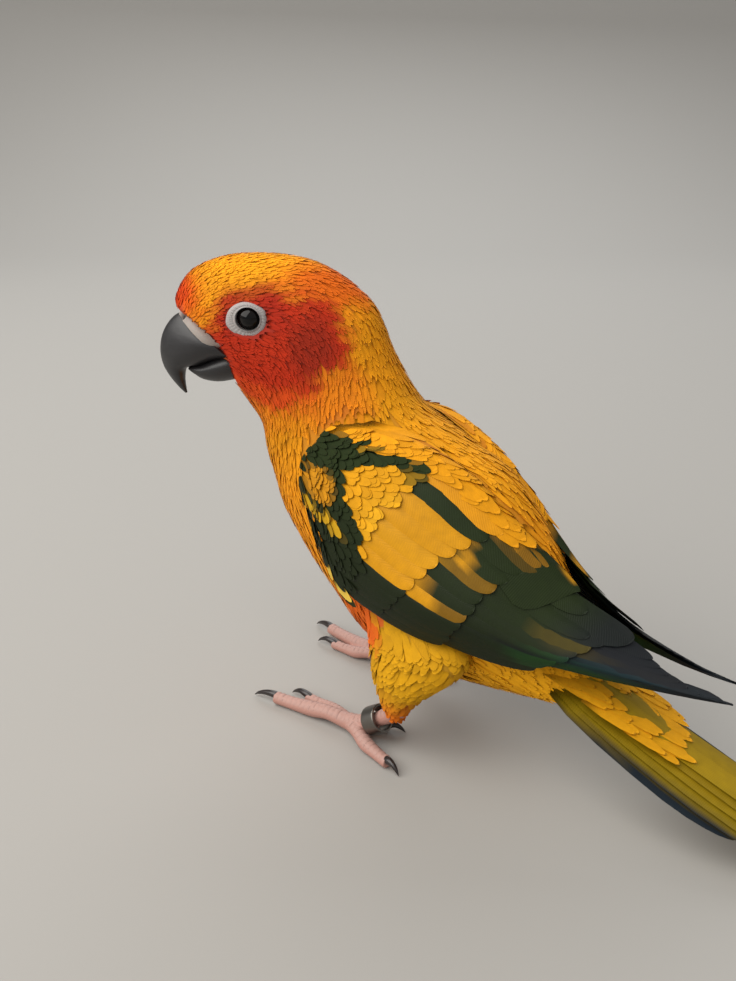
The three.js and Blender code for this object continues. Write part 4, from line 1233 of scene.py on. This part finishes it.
# %% Where the toes run
FOOT_TURN = {-1: 0.0, 1: np.radians(10.0)}
TOES = {
    # tip and middle joint as back and outward from the foot, radius and claw length
    "toe1": [9.5, -6.2, 4.8, -4.2, 1.75, 5.5],
    "toe2": [-20.0, -4.8, -10.0, -3.6, 1.9, 7.0],
    "toe3": [-28.0, 1.5, -14.0, 0.4, 2.3, 8.2],
    "toe4": [19.5, 8.5, 9.5, 5.2, 2.1, 5.0],
}
SHANK = [
    # back and outward from the foot, height, radius
    [18.5, 0, 15.0, 2.6], [14.5, 0, 11.4, 2.5], [9.0, 0, 7.4, 2.1],
    [3.5, 0, 4.3, 2.4], [-1.5, 0, 3.0, 2.6],
]


def foot_place(side, back, out, height):
    """Back and outward from the foot's middle, turned outwards on the right."""
    turn = FOOT_TURN[side]
    back, out, height = np.broadcast_arrays(*(np.asarray(a, float) for a in (back, out, height)))
    x = back * np.cos(turn) + out * np.sin(turn)
    y = out * np.cos(turn) - back * np.sin(turn)
    return np.stack([FOOT[side][0] + x, FOOT[side][1] + side * y, height], -1)


def toe_line(side, toe):
    """Middle line and radius of a toe as rows of x, y, z, r."""
    tip_x, tip_y, bend_x, bend_y, radius, _ = toe
    low = radius - 0.1
    back = np.array([0, bend_x * 0.55, bend_x, (bend_x + tip_x) / 2, tip_x])
    out = np.array([0, bend_y * 0.6, bend_y, (bend_y + tip_y) / 2, tip_y])
    height = np.array([3.0, low + 1.2, low + 0.25, low * 0.92, low * 0.9])
    size = radius * np.array([1.12, 0.96, 1.04, 0.88, 0.84])
    return np.concatenate([foot_place(side, back, out, height), size[:, None]], 1)


def claw_line(side, toe):
    """Middle line and radius of a claw: it leaves the toe's upper side, arches and comes down."""
    tip_x, tip_y, bend_x, bend_y, radius, length = toe
    run = unit(np.array([tip_x - bend_x, tip_y - bend_y]))
    forward = np.array([-2.2, 0.4, 0.45 * length, 0.8 * length, length])
    height = np.array([radius, radius + 0.6, 2.6, 1.56, 0.35])
    size = np.array([1.03, 1.15, 0.86, 0.5, 0.12])
    middle = foot_place(side, tip_x + run[0] * forward, tip_y + run[1] * forward, height)
    return np.concatenate([middle, size[:, None]], 1)


def limb(table, rows, cols):
    """Rings round a smooth middle line: middle + r(across cos + up sin)."""
    at = np.linspace(0, len(table) - 1, rows)
    row = spline(table, at)
    step = 0.02
    run = unit(spline(table, at + step)[:, :3] - spline(table, at - step)[:, :3])
    across = unit(np.cross([0, 0, 1.0], run))
    up = np.cross(run, across)
    angle = full_turn(cols)[None, :, None]
    spread = across[:, None] * np.cos(angle) + up[:, None] * np.sin(angle)
    return row[:, None, :3] + row[:, None, 3:] * spread


def run_along(line):
    """120 rows of a middle line, and how far along it each one lies, in mm."""
    rows = spline(line, np.linspace(0, len(line) - 1, 120))
    steps = np.linalg.norm(np.diff(rows[:, :3], axis=0), axis=1)
    return rows, np.concatenate([[0], np.cumsum(steps)])


print("the longest toe is", run_along(toe_line(-1, TOES["toe3"]))[1][-1].round(1), "mm long")

# %% Foot skin with scutes and granules
SCUTE_MM, SCUTE_RISE = 1.75, 0.30
GRANULE_RISE, GRANULE_PITCH = 0.07, 5.5
PINK, GREY = to_linear("#b58578"), to_linear("#a8928a")
GREYED = 0.35


def foot_skin(side):
    """The melted shank and toes, each point moved away from the nearest toe's middle line: by
    scutes |sin(pi run / length)|^0.45 on the upper side and by a product of three sines below."""
    lines = [np.array(SHANK) + [*FOOT[side], 0, 0]] + [toe_line(side, toe) for toe in TOES.values()]
    lump, quads = melt(f"foot_lump_{side}", [closed_tube(limb(line, 60, 28)) for line in lines], 0.3)
    rows, run_mm = (np.concatenate(parts) for parts in zip(*map(run_along, lines)))
    best = np.concatenate([
        np.argmin(np.linalg.norm(block[:, None] - rows[None, :, :3], axis=2) - rows[None, :, 3], axis=1)
        for block in np.array_split(lump, 24)])
    outward_way = unit(lump - rows[best, :3])
    wave = np.abs(np.sin(np.pi * run_mm[best] / SCUTE_MM)) ** 0.45 - 0.75
    top = smooth(np.clip(outward_way[:, 2], -1, 1), 0.05, 0.6)
    x, y, z = (lump * GRANULE_PITCH).T
    granules = GRANULE_RISE * np.sin(x) * np.sin(y) * np.sin(z)
    lump = lump + outward_way * (SCUTE_RISE * wave * top + granules * (1 - top))[:, None]
    lump[:, 2] = np.maximum(lump[:, 2], 0.0)
    # Painted shade: the tint darkens, to as little as 0.4, in the grooves between scutes.
    painted_crease_shade = np.clip(1.0 + 0.9 * np.minimum(wave + 0.25, 0) * top, 0.4, 1)[:, None]
    tint = PINK * (1 - GREYED * top[:, None]) + GREY * GREYED * top[:, None]
    return *outward(lump, [quads]), tint * painted_crease_shade


# Foot skin: pink under grey, dry and finely pored.
scaly_skin = tint_material("scaly_foot_skin", 0.55, 0.5, 0.06, (0.85, 1.1))
for side, word in SIDES:
    points, faces, tint = foot_skin(side)
    foot = make_mesh(f"foot_skin_{word}", points, faces, scaly_skin, tint)
    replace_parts(foot, f"foot_{word}")
    for toe_name, toe in TOES.items():
        points, faces = closed_tube(limb(claw_line(side, toe), 30, 20))
        points[:, 2] = np.maximum(points[:, 2], 0.0)
        claw = make_mesh(f"claw_horn_{word}_{toe_name}", points, faces, claw_horn)
        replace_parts(claw, f"claw_{word}_{toe_name}")

# %% [markdown]
# The left leg wears a closed ring of dark aluminium, as birds bred in aviaries do. It is a short
# tube with rounded edges, turned on a lathe. A tube with a Bevel would do as well; here a rounded
# square is carried once round the shank, like the eye's ring, because that helper is at hand.

# %% The leg ring
BAND = dict(radius=3.95, half_wall=0.45, half_height=2.5, back=9.8, height=7.9)
SHANK_WAY = [15.0, 0, 10.0]


def squared(wave):
    """A sine or cosine pushed out towards -1 and 1, so that a circle becomes a rounded square."""
    return np.sign(wave) * np.abs(wave) ** 0.35


edge = full_turn(40)
across = BAND["radius"] + BAND["half_wall"] * squared(np.cos(edge))
along = BAND["half_height"] * squared(np.sin(edge))
swing = full_turn(96)[:, None]
axis = unit(np.array(SHANK_WAY))
first = np.array([0, 1.0, 0])
second = np.cross(axis, first)
middle = np.array([FOOT[-1][0] + BAND["back"], FOOT[-1][1], BAND["height"]])
spoke = np.cos(swing)[..., None] * first + np.sin(swing)[..., None] * second
points, faces = closed_ring(across[None, :, None] * spoke + along[None, :, None] * axis + middle)

# Dark anodised aluminium, dulled by fine scratches.
band_metal, tree, shader = new_material("worn_dark_aluminium", Metallic=1.0, Roughness=0.34,
                                        Base_Color=(*to_linear("#77736d"), 1))
where = node(tree, "ShaderNodeTexCoord")
scratch = node(tree, "ShaderNodeTexNoise",
               {"Vector": where.outputs["Object"], "Scale": 1500.0, "Detail": 4.0})
dents = node(tree, "ShaderNodeBump", {"Height": scratch.outputs["Fac"], "Strength": 0.4,
                                      "Distance": 0.04 / MM_PER_M})
tree.links.new(dents.outputs[0], shader.inputs["Normal"])
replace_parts(make_mesh("leg_ring", points, faces, band_metal), "leg_band")

# %% [markdown]
# ## Camera, floor and light
# The camera stands to the bird's left and a little behind, looking down by 22 degrees. A flat floor
# alone would end in a hard line, so the paper that the bird stands on sweeps up far behind it. One
# large lamp on the camera's side gives soft shadows, and a weak one beyond the bird parts its back
# from the floor.

# %% Camera at the photograph's angle
ASIDE, DOWN = np.radians(35.0), np.radians(22.0)
CAMERA_AT = [150.55, -223.50, 181.56]
SENSOR_MM = 24.0
FOCAL_PX, PICTURE_HEIGHT_PX = 1000, 981

look = np.array([-np.sin(ASIDE) * np.cos(DOWN), np.cos(ASIDE) * np.cos(DOWN), -np.sin(DOWN)])
right = np.array([np.cos(ASIDE), np.sin(ASIDE), 0.0])
above = np.cross(right, look)
camera_data = bpy.data.cameras.new("camera")
camera_data.sensor_fit, camera_data.sensor_height = "VERTICAL", SENSOR_MM
camera_data.lens = SENSOR_MM * FOCAL_PX / PICTURE_HEIGHT_PX
camera = bpy.data.objects.new("camera", camera_data)
bpy.context.scene.collection.objects.link(camera)
seat = (np.array(CAMERA_AT) + SHIFT) / MM_PER_M
turned = Matrix(np.stack([right, above, -look], 1).tolist()).to_4x4()
camera.matrix_world = Matrix.Translation(Vector(seat)) @ turned
bpy.context.scene.camera = camera
print("camera at", seat.round(3), "with a lens of", round(camera_data.lens, 2), "mm")

# %% Pale floor
FLAT_M, SWEEP_M, PAPER_M = 0.9, 0.8, 4
UNDERFOOT_M = 0.0002

# Flat, then a quarter of a circle, then upright.
arc = np.linspace(0, np.pi / 2, 24)
reach = np.concatenate([[-PAPER_M], FLAT_M + SWEEP_M * np.sin(arc), [FLAT_M + SWEEP_M]])
height = np.concatenate([[0.0], SWEEP_M - SWEEP_M * np.cos(arc), [PAPER_M]])
behind = np.array([-np.sin(ASIDE), np.cos(ASIDE), 0])
rows = reach[:, None] * behind + height[:, None] * np.array([0, 0, 1.0]) - [0, 0, UNDERFOOT_M]
sweep = np.concatenate([rows - PAPER_M * right, rows + PAPER_M * right])
strip = [(k, k + 1, k + 1 + len(rows), k + len(rows)) for k in range(len(rows) - 1)]
floor_mesh = bpy.data.meshes.new("floor")
floor_mesh.from_pydata(sweep.tolist(), [], strip)
floor_mesh.polygons.foreach_set("use_smooth", np.ones(len(strip), bool))
floor = bpy.data.objects.new("floor", floor_mesh)
bpy.context.scene.collection.objects.link(floor)
# Uncoated backdrop paper: matt, pale and plain.
paper, _, _ = new_material("matt_pale_paper", Roughness=0.9, Base_Color=(*to_linear("#a3a09b"), 1))
floor_mesh.materials.append(paper)


# %% Soft studio light
def area_light(name, place_mm, target_mm, size, power, colour):
    """A square lamp that looks at a point."""
    data = bpy.data.lights.new(name, "AREA")
    data.size, data.energy, data.color = size, power, colour
    lamp = bpy.data.objects.new(name, data)
    at = Vector((np.array(place_mm) + SHIFT) / MM_PER_M)
    aim = Vector((np.array(target_mm) + SHIFT) / MM_PER_M) - at
    lamp.rotation_euler = aim.to_track_quat("-Z", "Y").to_euler()
    lamp.location = at
    bpy.context.scene.collection.objects.link(lamp)


area_light("key", (-380, -760, 980), (0, 0, 60), 1.5, 24.0, (1.0, 0.97, 0.92))
area_light("rim", (-500, 800, 900), (0, 0, 80), 1.0, 8.0, (0.94, 0.97, 1.0))
world = bpy.data.worlds.new("studio")
bpy.context.scene.world = world
world.use_nodes = True
sky = world.node_tree.nodes["Background"]
sky.inputs["Color"].default_value = (*to_linear("#dfe0e2"), 1)
sky.inputs["Strength"].default_value = 0.6
bpy.context.scene.view_settings.view_transform = "Standard"
print("lamps:", len(bpy.data.lights))
